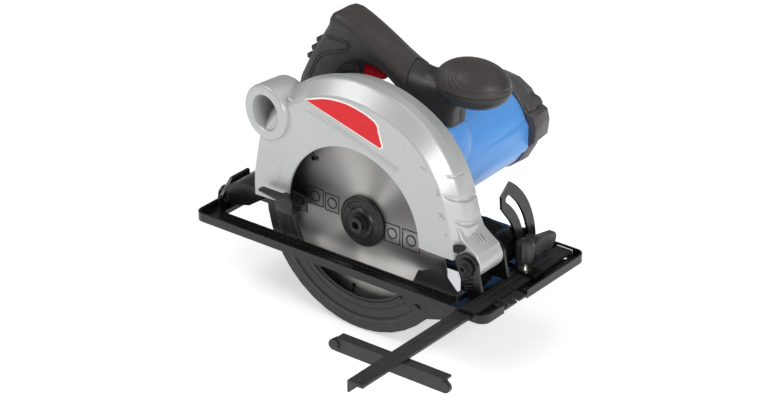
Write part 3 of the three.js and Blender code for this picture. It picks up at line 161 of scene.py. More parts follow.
looks = {
    # Silver lacquer over a die casting: fine metal flakes and a soft, slightly pebbled gloss.
    "silver": {"name": "silver metallic lacquer", "colour": "#C0C2C0", "shade": "#B3B6B4", "metallic": 0.3,
               "roughness": (0.34, 0.44), "mottleSize": 0.9, "grains": [(0.9, 0.06), (3.0, 0.05)],
               "coat": 0.15},
    # Stoved black enamel over pressed steel: deep, with orange peel and a clear edge highlight.
    "enamel": {"name": "black stoved enamel", "colour": "#131313", "shade": "#0E0E0E", "metallic": 0.0,
               "roughness": (0.2, 0.3), "mottleSize": 6.0, "grains": [(1.8, 0.012)], "specular": 0.42},
    # Satin black paint of the swinging guard: greyer and flatter than the base.
    "satin": {"name": "satin black paint", "colour": "#2E2D2D", "shade": "#272626", "metallic": 0.1,
              "roughness": (0.42, 0.52), "mottleSize": 8.0, "grains": [(0.8, 0.04)]},
    # Moulded blue ABS with faint flow marks along the motor.
    "blue": {"name": "blue moulded ABS", "colour": "#5C9CE2", "shade": "#5494DB", "roughness": (0.3, 0.38),
             "mottleSize": 9.0, "grains": [(0.7, 0.03)], "stretch": (1, 0.12, 1)},
    # Glass-filled nylon from a spark-eroded mould: dark, dull and finely pitted.
    "nylon": {"name": "charcoal glass-filled nylon", "colour": "#343232", "shade": "#2B2A2A",
              "roughness": (0.42, 0.52), "mottleSize": 5.0, "grains": [(0.8, 0.06)]},
    # The same nylon in the end cap, its colour raised to grey as painted light on the cap.
    "paintedLightCapNylon": {"name": "glass-filled nylon lightened with painted light", "colour": "#504D4D", "shade": "#464343",
                 "roughness": (0.38, 0.48), "mottleSize": 5.0, "grains": [(0.8, 0.05)]},
    # Thermoplastic rubber moulded over the grip: warmer and softer than the nylon.
    "skin": {"name": "brown-black TPE overmould", "colour": "#352F2E", "shade": "#2E2928",
             "roughness": (0.46, 0.56), "mottleSize": 4.0, "grains": [(0.6, 0.06)], "sheen": 0.1},
    "rubber": {"name": "black rubber", "colour": "#1E1E1E", "shade": "#191919", "roughness": (0.75, 0.85),
               "mottleSize": 3.0, "grains": [(0.7, 0.05)]},
    # Glossy red ABS of the trigger.
    "red": {"name": "red moulded ABS", "colour": "#E01F2D", "shade": "#CF1A28", "roughness": (0.24, 0.3),
            "mottleSize": 6.0, "grains": [(1.2, 0.02)]},
    # Printed and lacquered plate.
    "redPlate": {"name": "red lacquered plate", "colour": "#DC1620", "shade": "#D4121B",
                 "roughness": (0.3, 0.36), "mottleSize": 12.0, "grains": [(2.0, 0.01)], "specular": 0.3},
    "whiteRim": {"name": "white printed border", "colour": "#F4F2EE", "shade": "#ECEAE6",
                 "roughness": (0.3, 0.36), "mottleSize": 12.0, "grains": [(2.0, 0.01)]},
    # Blackened steel of bolts and flanges.
    "blackSteel": {"name": "black oxide steel", "colour": "#3A3838", "shade": "#2E2C2C", "metallic": 0.7,
                   "roughness": (0.34, 0.46), "mottleSize": 3.0, "grains": [(0.8, 0.03)]},
    "zinc": {"name": "zinc-plated steel", "colour": "#CFCFCA", "shade": "#BDBDB6", "metallic": 1.0,
             "roughness": (0.24, 0.36), "mottleSize": 2.5, "grains": [(1.0, 0.02)]},
    "bright": {"name": "ground steel", "colour": "#BDBBB6", "shade": "#AFADA8", "metallic": 1.0,
               "roughness": (0.26, 0.36), "mottleSize": 2.0, "grains": [(0.6, 0.02)]},
    "copper": {"name": "enamelled copper wire", "colour": "#B8683C", "shade": "#8F4A28", "metallic": 0.9,
               "roughness": (0.3, 0.42), "mottleSize": 1.2, "grains": [(0.8, 0.25)]},
    # Stacked electrical sheet: bands half a millimetre thick across the shaft.
    "sheets": {"name": "stacked electrical steel", "colour": "#6E6C6A", "shade": "#3E3C3B", "metallic": 0.8,
               "roughness": (0.4, 0.55), "mottleSize": 1.0, "grains": [(0.5, 0.08)],
               "stretch": (0.05, 1, 0.05)},
    "carbon": {"name": "pressed carbon", "colour": "#232325", "shade": "#1A1A1B", "roughness": (0.5, 0.65),
               "mottleSize": 1.0, "grains": [(0.5, 0.05)]},
}
paint = {key: finish(look["name"], look)[0] for key, look in looks.items()}
# The blade's base colour carries painted highlight and painted shade fans, set by angle in the list below.
paint["blade"] = turnedSteelPaintedFans("circular ground blade steel with painted fans", {
    "colour": "#D2D0CC", "shade": "#B1AFAA", "metallic": 1.0, "roughness": (0.4, 0.48), "mottleSize": 20.0,
    "grains": [], "ringSpacing": 0.5, "ringDepth": 0.01, "anisotropy": 0.9,
    "paintedShadeColour": "#3A3938",
    "paintedFanLevels": [(-176, 0.25), (-152, 0.9), (-135, 0.6), (-113, 0.35), (-95, 0.8), (-60, 0.8), (-17, 0.95), (-3, 0.5),
             (22, 0.15), (42, 0.3), (54, 0.95), (64, 0.5), (82, 0.6), (104, 0.95), (124, 0.4), (150, 0.2),
             (176, 0.25)]})
print("materials made:", len(paint))


# Mesh tools.
def addBevel(obj, width, segments):
    bevel = obj.modifiers.new("edge", "BEVEL")
    bevel.width = width * millimetre
    bevel.segments = segments
    bevel.limit_method = "ANGLE"
    bevel.angle_limit = math.radians(30)
    bevel.use_clamp_overlap = True


def finishPiece(name, shape, look, body, replaces=(), bevel=0, sharp=38, segments=2):
    # Edges that turn by more than `sharp` degrees stay sharp; bevel is in millimetres.
    bmesh.ops.transform(shape, matrix=place, verts=shape.verts)
    for face in shape.faces:
        face.smooth = True
    for edge in shape.edges:
        edge.smooth = len(edge.link_faces) == 2 and edge.calc_face_angle(0) < math.radians(sharp)
    mesh = bpy.data.meshes.new(name)
    shape.to_mesh(mesh)
    shape.free()
    obj = bpy.data.objects.new(name, mesh)
    bpy.context.scene.collection.objects.link(obj)
    obj.data.materials.append(paint[look])
    if bevel:
        addBevel(obj, bevel, segments)
    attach(obj, body)
    if replaces:
        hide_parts(*replaces)


def merge(shape, limit=0.002):
    bmesh.ops.remove_doubles(shape, verts=shape.verts, dist=limit)


def outward(shape):
    merge(shape)
    bmesh.ops.recalc_face_normals(shape, faces=shape.faces)


def copied(node):
    # A CAD node's mesh as one joined shape in drawing millimetres, with its flat faces whole.
    shape = bmesh.new()
    shape.from_mesh(nodes[node].data)
    bmesh.ops.transform(shape, matrix=place.inverted(), verts=shape.verts)
    merge(shape, 0.01)
    bmesh.ops.dissolve_limit(shape, angle_limit=math.radians(0.6), verts=shape.verts, edges=shape.edges)
    return shape


def fromCad(node, look, bevel=0.5, sharp=38, extra=None, segments=2):
    shape = copied(node)
    if extra:
        extra(shape)
    finishPiece(node + "_surface", shape, look, bodyOf[node], [node], bevel, sharp, segments)


def turned(profile, centre, axis, steps=64, angle=360.0, start=None):
    # A profile of (radius, distance along the axis) pairs, spun about the axis.
    shape = bmesh.new()
    axis = Vector(axis).normalized()
    side = Vector(start) if start else axis.orthogonal().normalized()
    points = [shape.verts.new(Vector(centre) + side * r + axis * a) for r, a in profile]
    edges = [shape.edges.new(pair) for pair in zip(points, points[1:])]
    bmesh.ops.spin(shape, geom=points + edges, cent=centre, axis=axis, dvec=(0, 0, 0),
                   angle=math.radians(angle), steps=steps, use_merge=angle >= 360, use_duplicate=False)
    outward(shape)
    return shape


def plate(outline, low, high, across="y"):
    # A closed outline, pushed through its thickness.
    shape = bmesh.new()
    spots = {"y": lambda a, b: (a, low, b), "x": lambda a, b: (low, a, b), "z": lambda a, b: (a, b, low)}
    push = {"y": (0, high - low, 0), "x": (high - low, 0, 0), "z": (0, 0, high - low)}[across]
    face = shape.faces.new([shape.verts.new(spots[across](a, b)) for a, b in outline])
    pushed = bmesh.ops.extrude_face_region(shape, geom=[face])["geom"]
    bmesh.ops.translate(shape, vec=push, verts=[g for g in pushed if isinstance(g, bmesh.types.BMVert)])
    outward(shape)
    return shape


def rounded(shape, edges, width, segments=4):
    bmesh.ops.bevel(shape, geom=edges, offset=width, offset_type="OFFSET", affect="EDGES", segments=segments,
                    profile=0.5, material=-1, clamp_overlap=True)


def join(target, *others):
    for other in others:
        otherMesh = bpy.data.meshes.new("joined")
        other.to_mesh(otherMesh)
        other.free()
        target.from_mesh(otherMesh)
        bpy.data.meshes.remove(otherMesh)
    return target


def rod(start, end, radius, sides=32, edge=0.4):
    # A turned pin with softened ends.
    start, end = Vector(start), Vector(end)
    length = (end - start).length
    profile = [(0, 0), (radius - edge, 0), (radius - 0.3 * edge, 0.3 * edge), (radius, edge),
               (radius, length - edge), (radius - 0.3 * edge, length - 0.3 * edge), (radius - edge, length),
               (0, length)]
    return turned(profile, start, end - start, sides)


def block(low, high, width=1.0, segments=3):
    # A box between two corners, with its edges rounded.
    shape = bmesh.new()
    bmesh.ops.create_cube(shape, size=1)
    low, high = Vector(low), Vector(high)
    bmesh.ops.scale(shape, vec=high - low, verts=shape.verts)
    bmesh.ops.translate(shape, vec=(low + high) / 2, verts=shape.verts)
    if width:
        rounded(shape, shape.edges[:], width, segments)
    return shape


def curve(points, steps=8):
    # A smooth run through a few points.
    out = []
    path = [Vector(p) for p in points]
    path = [path[0] * 2 - path[1]] + path + [path[-1] * 2 - path[-2]]
    for a, b, c, d in zip(path, path[1:], path[2:], path[3:]):
        for i in range(steps):
            t = i / steps
            out.append(0.5 * (2 * b + (c - a) * t + (2 * a - 5 * b + 4 * c - d) * t * t
                              + (3 * b - a - 3 * c + d) * t ** 3))
    return out + [path[-2]]


def nearest(points, lines):
    # Distance from each point to the closest of the line's segments.
    best = np.full(len(points), 1e9)
    for a, b in zip(lines[:-1], lines[1:]):
        d = b - a
        t = np.clip(((points - a) @ d) / max(d @ d, 1e-9), 0, 1)
        best = np.minimum(best, np.linalg.norm(points - (a + t[:, None] * d), axis=1))
    return best


def press(shape, marks):
    # Grooves and ridges along lines; depth is inward, with soft edges of the given width.
    shape.normal_update()
    points = np.array([v.co for v in shape.verts])
    normals = np.array([v.normal for v in shape.verts])
    shift = np.zeros(len(points))
    for line, width, depth in marks:
        run = np.array([list(p) for p in curve(line)])
        away = nearest(points, run)
        blend = np.clip((width / 2 + 0.6 - away) / 1.2, 0, 1)
        shift = shift - depth * blend * blend * (3 - 2 * blend)
    moved = points + normals * shift[:, None]
    for vert, co in zip(shape.verts, moved):
        vert.co = co


def tube(shape, points, radius, sides=8):
    # Rings of a small circle, set along the points and bridged.
    rings = []
    for i, point in enumerate(points):
        ahead = points[min(i + 1, len(points) - 1)] - points[max(i - 1, 0)]
        made = bmesh.ops.create_circle(shape, cap_ends=False, radius=radius, segments=sides)
        turn = ahead.to_track_quat("Z", "Y").to_matrix().to_4x4()
        bmesh.ops.transform(shape, matrix=Matrix.Translation(point) @ turn, verts=made["verts"])
        rings.append({e for v in made["verts"] for e in v.link_edges})
    for a, b in zip(rings, rings[1:]):
        bmesh.ops.bridge_loops(shape, edges=list(a | b))
    bmesh.ops.holes_fill(shape, edges=[e for e in shape.edges if e.is_boundary], sides=0)
    bmesh.ops.recalc_face_normals(shape, faces=shape.faces)


# Upper guard. Angles in degrees about the arbor, radii of its rim at them.
guard = {
    "nearY": -15, "farY": 24, "windowRadius": 71.5, "topRadius": 131, "steps": 460,
    "angles": [0.5, 10, 22, 37, 55, 78, 99, 122, 150, 168, 181.7],
    "radii": [113, 113, 114, 120, 126, 128.5, 131, 131, 126, 123, 121],
    "fixedRadius": 84, "windowShift": (-2.4, 0.8), "portCentre": (-93.6, -21, 120.2), "portYaw": 7,
    "portSwell": 4.4, "swellReach": 52, "swellBlend": 26,
}


def lineOf(a, b, count):
    return [(a[0] + (b[0] - a[0]) * i / count, a[1] + (b[1] - a[1]) * i / count) for i in range(count)]


def guardProfile():
    window = guard["windowRadius"]
    near = guard["nearY"]
    far = guard["farY"]
    run = [(window, near + 2.5), (window, near + 0.8), (window + 0.25, near + 0.25), (window + 0.8, near)]
    run += lineOf((window + 1.5, near), (117.6, near), 44)
    run += [(117.6, near), (118.6, near + 0.25), (119.4, near + 0.9)]
    run += lineOf((120.2, near + 1.7), (129.4, -3), 12)
    run += [(129.4, -3), (130.3, -1.8), (130.8, -0.6), (131, 0.4)]
    run += lineOf((131, 1.4), (131, 8.6), 6)
    run += [(131, 8.6), (130.8, 9.4), (129.9, 10.2), (129.5, 10.9), (129.3, 12.6), (128.9, 14.6),
            (128.7, 15.3), (127.9, 15.9), (127.6, 16.6), (126.6, 21.4), (126.2, 23.2), (125.4, far)]
    run += [(122.4, far), (121.8, far - 0.7), (121.5, 15.7), (120.8, 15), (44, 15), (43.3, 15.7),
            (43.1, far - 0.6), (42.5, far), (15, far), (14.4, far - 0.6), (14.4, 12.6), (15, 12), (125.2, 12),
            (126, -2), (118.4, near + 2.5), (window, near + 2.5)]
    return run


def guardShell():
    shape = bmesh.new()
    start = Vector((math.cos(math.radians(0.5)), 0, math.sin(math.radians(0.5))))
    points = [shape.verts.new(arbor + start * r + Vector((0, y, 0))) for r, y in guardProfile()[:-1]]
    edges = [shape.edges.new(pair) for pair in zip(points, points[1:] + points[:1])]
    bmesh.ops.spin(shape, geom=points + edges, cent=arbor, axis=(0, -1, 0), dvec=(0, 0, 0),
                   angle=math.radians(181.2), steps=guard["steps"], use_merge=False, use_duplicate=False)
    ends = [e for e in shape.edges if e.is_boundary]
    bmesh.ops.holes_fill(shape, edges=ends, sides=0)
    outward(shape)
    fixed = guard["fixedRadius"]
    top = guard["topRadius"]
    for vert in shape.verts:
        across, up = vert.co.x, vert.co.z - arbor.z
        reach = math.hypot(across, up)
        if vert.co.y < 0 and reach < fixed:
            share = min(1.0, (fixed - reach) / (fixed - guard["windowRadius"]))
            vert.co.x += guard["windowShift"][0] * share
            vert.co.z += guard["windowShift"][1] * share
        if reach > fixed:
            angle = math.degrees(math.atan2(up, across)) % 360
            wanted = np.interp(angle, guardAngles, guardReach)
            swelled = fixed + (reach - fixed) * (wanted - fixed) / (top - fixed)
            vert.co.x *= swelled / reach
            vert.co.z = arbor.z + up * swelled / reach
        # The near wall swells out to meet the dust port.
        if vert.co.y < 1:
            away = math.hypot(vert.co.x - guard["portCentre"][0], vert.co.z - guard["portCentre"][2])
            near = min(1.0, max(0.0, (guard["swellReach"] - away) / guard["swellBlend"]))
            depth = min(1.0, (1 - vert.co.y) / 13)
            vert.co.y -= guard["portSwell"] * near * near * (3 - 2 * near) * depth
    return shape


guardAngles = np.linspace(-10, 192, 405)
coarse = np.interp(guardAngles, guard["angles"], guard["radii"])
guardReach = np.convolve(np.pad(coarse, 12, mode="edge"), np.ones(25) / 25, mode="valid")

# Pressed marks on the guard: points, width and depth in millimetres. A depth below zero stands proud.
guardMarks = [
    ([(71, -15, 116), (80, -13.8, 114), (87, -9, 111), (96, -2, 108), (97, 6, 108), (95, 14.5, 106)], 1.0, 1.0),
    ([(88, -15, 97), (96, -9, 92), (103, -1, 89), (103, 12, 85), (100, 23, 84)], 3.6, 1.5),
    ([(92, -15, 76), (102, -7.5, 72), (109, 1, 67), (107, 19, 63)], 4.2, 1.5),
    ([(98, -15, 60), (100, -13.8, 59), (107, -6, 54), (112, 0.5, 51), (109, 18.5, 45)], 1.4, 1.0),
]


# Raised lines on the near face: points and radius.
guardRidges = [
    ([(-71, -15.4, 138), (-53, -14.6, 134.5), (-26, -14.5, 128), (7, -14.5, 118.4), (34, -14.5, 109.4),
      (46, -15.2, 104.8)], 1.7),
    ([(-67.6, -14.9, 95.8), (-74, -14.9, 86), (-80.6, -14.9, 71), (-83.6, -14.9, 57)], 0.5),
    ([(-91, -15.3, 81), (-88.4, -15.3, 72.5)], 1.2),
    ([(-69.6, -15, 98), (-67.4, -15, 96)], 1.7),
]


def noseBlock():
    outline = [(90, 60), (100, 66.5), (106.6, 66.2), (110.4, 57.6), (118.4, 51.6), (126.2, 46.6)]
    for i in range(14):
        turn = math.radians(40 - i * 13)
        outline.append((saw["pivotX"] + saw["noseRadius"] * math.cos(turn),
                        saw["pivotZ"] + saw["noseRadius"] * math.sin(turn)))
    outline += [(104, 39.3), (90, 39.3)]
    shape = plate(outline, -9, 24)
    rims = [e for e in shape.edges if e.calc_face_angle(0) > 1.2]
    rounded(shape, rims, 1.4, 3)
    # Short cast ribs on the sloping front.
    slope = math.atan2(46.6 - 57.6, 126.2 - 110.4)
    for i, length in enumerate((10.5, 10, 9)):
        rib = block((-length / 2, -0.8, -0.6), (length / 2, 0.8, 1.0), 0.5)
        spot = Matrix.Translation((115.6 + i * 1.2, 5.4 + i * 3.6, 54.2 - i * 0.8))
        lay = spot @ Matrix.Rotation(-slope, 4, "Y")
        bmesh.ops.transform(rib, matrix=lay, verts=rib.verts)
        join(shape, rib)
    return shape


def dustPort():
    yaw = math.radians(guard["portYaw"])
    axis = (math.sin(yaw), math.cos(yaw), 0)
    profile = [(0, 26), (15.6, 26), (16, 25.6), (16, 1.6), (16.2, 0.7), (16.9, 0), (18, -0.2), (23.4, 0),
               (24.6, 0.3), (25.3, 1), (25.6, 2.2), (25.6, 29), (25.1, 31), (23.6, 33.2), (21.6, 34), (0, 34)]
    return turned(profile, guard["portCentre"], axis, 96)


def buildGuard():
    shape = guardShell()
    press(shape, guardMarks)
    hub = turned([(14.4, 12), (22, 12), (22, 23.4), (21.4, 24), (14.4, 24), (14.4, 12)], arbor, (0, 1, 0), 64)
    bridge = rod(motorAxis + Vector((0, 14.6, 0)), motorAxis + Vector((0, 24, 0)), 52, 72, 1.2)
    drop = [v for v in bridge.verts if v.co.z < arbor.z + 10 and math.hypot(v.co.x, v.co.z - arbor.z) < 44]
    for vert in drop:
        vert.co.y = max(vert.co.y, 15)
    boss = rod((-80.4, 13, 56.2), (-80.4, 24, 56.2), 8, 32, 0.6)
    join(shape, hub, boss, bridge, noseBlock(), dustPort())
    for points, radius in guardRidges:
        ridge = bmesh.new()
        tube(ridge, curve(points, 10), radius, 12)
        join(shape, ridge)
    finishPiece("upper_guard_casting", shape, "silver", "saw_head", ["upper_guard"], 0, 32)


buildGuard()
print("upper guard made")


# Red side plate, a curved triangle with a white border.
def grown(outline, distance):
    # The outline moved outward by a distance, corner by corner.
    out = []
    for before, here, after in zip(outline[-1:] + outline[:-1], outline, outline[1:] + outline[:1]):
        a = (Vector(here) - Vector(before)).normalized()
        b = (Vector(after) - Vector(here)).normalized()
        mid = Vector((-(a.y + b.y), a.x + b.x)).normalized()
        out.append(tuple(Vector(here) + mid * distance / max(0.6, mid.dot(Vector((-a.y, a.x))))))
    return out


def sidePlates():
    z0 = saw["arborZ"]
    top = curve([(-53, z0 + 105.6, 0), (-30, z0 + 113, 0), (-8, z0 + 114.6, 0), (12, z0 + 111, 0),
                 (23, z0 + 106.6, 0)], 6)
    outline = [tuple(p)[:2] for p in top]
    outline += [(26.3, z0 + 103), (27.5, z0 + 97), (31, z0 + 86), (30.6, z0 + 83.6), (28.6, z0 + 82.6)]
    rim = plate(grown(outline, 0.5), -15.75, -14.8)
    red = plate(grown(outline, -0.9), -16.05, -15.5)
    finishPiece("side_plate_border", rim, "whiteRim", "saw_head", ["side_plate"], 0.12)
    finishPiece("side_plate_face", red, "redPlate", "saw_head", [], 0.12)


sidePlates()


# Motor housing, gear case and end cap.
motor = {"radius": 45, "flange": 48, "nearY": 44.3, "farY": 170, "endRadius": 43, "capFarY": 203,
         "footCentre": (35, 70, 95), "footRadii": (21, 25, 28)}


def onMotor(outline):
    return [(motorAxis.x + a, motorAxis.z + b) for a, b in outline]


def motorHousing():
    near, far = motor["nearY"], motor["farY"]
    flange, radius, end = motor["flange"], motor["radius"], motor["endRadius"]
    profile = [(14, near), (flange - 0.6, near), (flange, near + 0.6), (flange, near + 5.2),
               (flange - 0.7, near + 6.2), (radius + 0.6, near + 8.4), (radius, near + 10.4)]
    profile += lineOf((radius - 0.1, near + 12), (end, far - 1), 24)
    profile += [(end, far - 1), (end - 0.5, far), (38, far), (38, 140), (14, 140)]
    shape = turned(profile, motorAxis, (0, 1, 0), 144)
    # A pad under the handle, a foot under its front leg, and flat cheeks that run back to the end cap.
    saddle = block((-20, 48, 92), (22, 80, 122.2), 4.5, 5)
    foot = bmesh.new()
    bmesh.ops.create_uvsphere(foot, u_segments=64, v_segments=40, radius=1)
    bmesh.ops.scale(foot, vec=motor["footRadii"], verts=foot.verts)
    bmesh.ops.translate(foot, vec=motor["footCentre"], verts=foot.verts)
    join(shape, saddle, foot)
    cheekOutline = ((36, 14), (41.2, 13.4), (44.3, 8.2), (44.3, -12.6), (41.4, -17.4), (36, -18))
    for side in (1, -1):
        cheek = plate(onMotor([(side * a, b) for a, b in cheekOutline]), 62, far - 0.2)
        rounded(cheek, cheek.edges[:], 0.9, 3)
        for vert in cheek.verts:
            vert.co.x -= side * max(0.0, (100 - vert.co.y)) * 0.03
        join(shape, cheek)
    finishPiece("motor_housing_shell", shape, "blue", "saw_head", ["motor_housing"], 0, 34)


def endCap():
    near, far = motor["farY"] + 0.4, motor["capFarY"]
    profile = [(39, near), (44.4, near), (45, near + 0.5), (46.2, near + 6), (46.2, near + 13),
               (45.4, near + 15.2), (43.6, near + 18.6), (42.6, near + 21.6), (40.4, far - 5.5), (38.8, far - 3),
               (35, far - 0.4), (33.6, far), (0, far)]
    first = math.radians(4)
    shape = turned(profile, motorAxis, (0, 1, 0), 16, start=(math.cos(first), 0, math.sin(first)))
    edges = [e for e in shape.edges if len(e.link_faces) == 2 and e.calc_face_angle(0) > math.radians(14)]
    rounded(shape, edges, 1.0, 3)
    # Hoods at both sides, over the air inlets, with a groove behind each.
    hoodOutline = ((30, 21), (43, 19.4), (49.2, 17), (51.9, 7), (50.2, -7.8), (43.8, -13.8), (30, -16))
    lipOutline = ((28, 30), (39.5, 26.8), (43.2, 21.4), (28, 23))
    for side in (1, -1):
        hood = plate(onMotor([(side * a, b) for a, b in hoodOutline]), near, far - 6)
        rounded(hood, hood.edges[:], 1.6, 3)
        lip = plate(onMotor([(side * a, b) for a, b in lipOutline]), near + 0.6, far - 9)
        rounded(lip, lip.edges[:], 1.2, 3)
        for vert in hood.verts:
            if vert.co.y > far - 18:
                vert.co.x -= side * (vert.co.y - far + 18) * 0.3
        join(shape, hood, lip)
    # The cap shell takes the lightened nylon: painted light.
    finishPiece("end_cap_shell", shape, "paintedLightCapNylon", "saw_head", ["end_cap"], 0, 30)
    slats = [block((motorAxis.x - 24, far - 0.6, motorAxis.z - 24 + i * 10),
                   (motorAxis.x + 24, far + 0.7, motorAxis.z - 19.4 + i * 10), 0.6) for i in range(5)]
    grille = join(slats[0], *slats[1:])
    finishPiece("end_cap_grille", grille, "rubber", "saw_head", [], 0, 30)
    seamProfile = [(40, near - 0.6), (42.7, near - 0.6), (42.7, near + 0.3), (40, near + 0.3), (40, near - 0.6)]
    seam = turned(seamProfile, motorAxis, (0, 1, 0), 96)
    finishPiece("end_cap_seam", seam, "rubber", "saw_head", [], 0, 30)


motorHousing()
endCap()
fromCad("gear_case", "silver", 1.0)
print("motor made")

# Handle.
handle = {"midY": 66, "half": 18, "gap": 0.2, "round": 7.5, "skinProud": 0.5, "leanY": 3,
          "nearTaper": 0.12, "farTaper": 0.42, "steps": ((-93.5, 163), (-99, 154), (-104, 145)),
          "crease": ((-67.6, 49, 194.5), (8.8, 49, 148.5)), "skinEnd": (9, 49, 150)}

# The handle's outline as (x, z), run by run: the crown of the grip from the rear to where the neck meets the
# knob, the corner behind it, the front leg, the inside of the loop, the foot and the rear edge.
crown = [(-64, 195.4), (-57, 193.6), (-46, 189.8), (-35, 185.4), (-24, 180.6), (-13, 175.4), (-2, 170.8),
         (8, 167.4), (18, 165.6), (34, 165), (50, 162.4)]
rearCorner = [(-80.6, 183), (-79.6, 188.6), (-76.8, 193), (-71.4, 195.8)]
leg = [(62, 158), (61, 147), (52, 133), (50, 118), (25, 118), (22.4, 127)]
belly = [(19, 131), (14, 133.4), (7, 135.6), (-2, 140), (-11, 146), (-18, 151), (-26, 154), (-40, 155.6),
         (-48, 153.6), (-52, 148), (-50.6, 138), (-46, 127), (-38, 118)]
foot = [(-31, 108), (-36, 84)]
rearEdge = [(-112, 84), (-118, 104), (-112.4, 126), (-106, 139), (-98.6, 153), (-89.5, 168)]


def handleOutline():
    low = [tuple(p)[:2] for p in curve([(a, b, 0) for a, b in belly], 2)]
    return rearEdge + rearCorner + crown + leg + low + foot


def topLine(x):
    return float(np.interp(x, [a for a, _ in crown], [b for _, b in crown]))


def shaped(vert):
    # The crown falls away to each side, steeper toward the front. The leg tapers, and leans to the motor.
    aside = (vert.co.y - handle["midY"]) / handle["half"]
    x, z = vert.co.x, vert.co.z
    if x > -79:
        nearTop = min(1.0, max(0.0, 1 - (topLine(x) - z - 8) / 9))
        fall = np.interp(x, [-76, -62, 8, 24, 40, 60], [0, 1, 10, 9, 6, 4])
        vert.co.z -= nearTop * float(fall) * abs(aside)
    if x > 4:
        share = min(1.0, max(0.0, (154 - z) / 26)) * min(1.0, (x - 4) / 14)
        share = share * share * (3 - 2 * share)
        taper = handle["farTaper"] if aside > 0 else handle["nearTaper"]
        vert.co.y = handle["midY"] + (vert.co.y - handle["midY"]) * (1 - taper * share)
        drop = max(0.0, 150 - z) / 40 * min(1.0, (x - 4) / 14)
        vert.co.y += handle["leanY"] * drop


def handleHalf(sign, grow=0.0):
    middle = handle["midY"] + sign * handle["gap"]
    outer = handle["midY"] + sign * handle["half"]
    shape = plate(handleOutline(), min(middle, outer), max(middle, outer))
    rim = [e for e in shape.edges if all(abs(v.co.y - outer) < 0.01 for v in e.verts)]
    rounded(shape, rim, handle["round"], 5)
    seam = [e for e in shape.edges if all(abs(v.co.y - middle) < 0.01 for v in e.verts)]
    rounded(shape, seam, 0.5, 2)
    bmesh.ops.triangulate(shape, faces=[f for f in shape.faces if len(f.verts) > 4])
    for vert in shape.verts:
        shaped(vert)
    if grow:
        shape.normal_update()
        for vert in shape.verts:
            vert.co += vert.normal * grow
    return shape


def keepSide(shape, point, away):
    bmesh.ops.bisect_plane(shape, geom=shape.verts[:] + shape.edges[:] + shape.faces[:], plane_co=point,
                           plane_no=away, clear_outer=True, clear_inner=False)


def buildHandle():
    panel = [(-80.2, 172.9), (-56.8, 173.5), (-57, 169.5), (-60, 165.5), (-87.4, 153.2), (-101.3, 128.2)]
    for sign, name in ((-1, "near"), (1, "far")):
        shape = handleHalf(sign)
        # Small steps down the rear edge.
        for x, z in handle["steps"]:
            step = block((x - 2.6, handle["midY"] + (0.3 if sign > 0 else -13), z - 2.4),
                         (x + 3, handle["midY"] + (13 if sign > 0 else -0.3), z + 2.4), 1.2, 3)
            join(shape, step)
        finishPiece("handle_" + name + "_shell", shape, "nylon", "saw_head", ["handle_" + name], 0, 40)
        path = [Vector((a, handle["midY"] + sign * handle["half"], b)) for a, b in panel]
        panelLine(path, "handle_" + name + "_panel_line")
    # The rubber skin over the top of the grip, down to the crease on each side.
    crease = [Vector(point) for point in handle["crease"]]
    slope = (crease[1] - crease[0]).normalized()
    away = Vector((slope.z, 0, -slope.x))
    for sign, name in ((-1, "near"), (1, "far")):
        shape = handleHalf(sign, handle["skinProud"])
        keepSide(shape, crease[0], away)
        keepSide(shape, handle["skinEnd"], (0.98, 0, 0.2))
        rims = [e for e in shape.edges if e.is_boundary]
        bmesh.ops.holes_fill(shape, edges=rims, sides=0)
        outward(shape)
        finishPiece("grip_skin_" + name, shape, "skin", "saw_head", [], 0.25, 40)


def panelLine(path, name):
    # The double line where the rear panel meets the body.
    ring = bmesh.new()
    for shift in (0.0, 2.2):
        points = [p + Vector((shift * 0.7, 0, -shift)) for p in curve(path, 5)]
        tube(ring, points, 0.45)
    finishPiece(name, ring, "rubber", "saw_head", [], 0, 60)


buildHandle()

# Front knob.
knob = {"centre": (65.6, 66, 161.5), "radii": (36, 27, 21), "seamZ": 160, "panelShift": (10, -5),
        "panelSize": (24, 15.5), "grooveStep": 0.16, "neckCentre": (36, 66, 152), "neckRadii": (32, 16, 12),
        "neckTilt": 4}


def knobBall(grow=0.0, across=96, around=64):
    shape = bmesh.new()
    bmesh.ops.create_uvsphere(shape, u_segments=across, v_segments=around, radius=1)
    bmesh.ops.scale(shape, vec=[r + grow for r in knob["radii"]], verts=shape.verts)
    bmesh.ops.translate(shape, vec=knob["centre"], verts=shape.verts)
    return shape


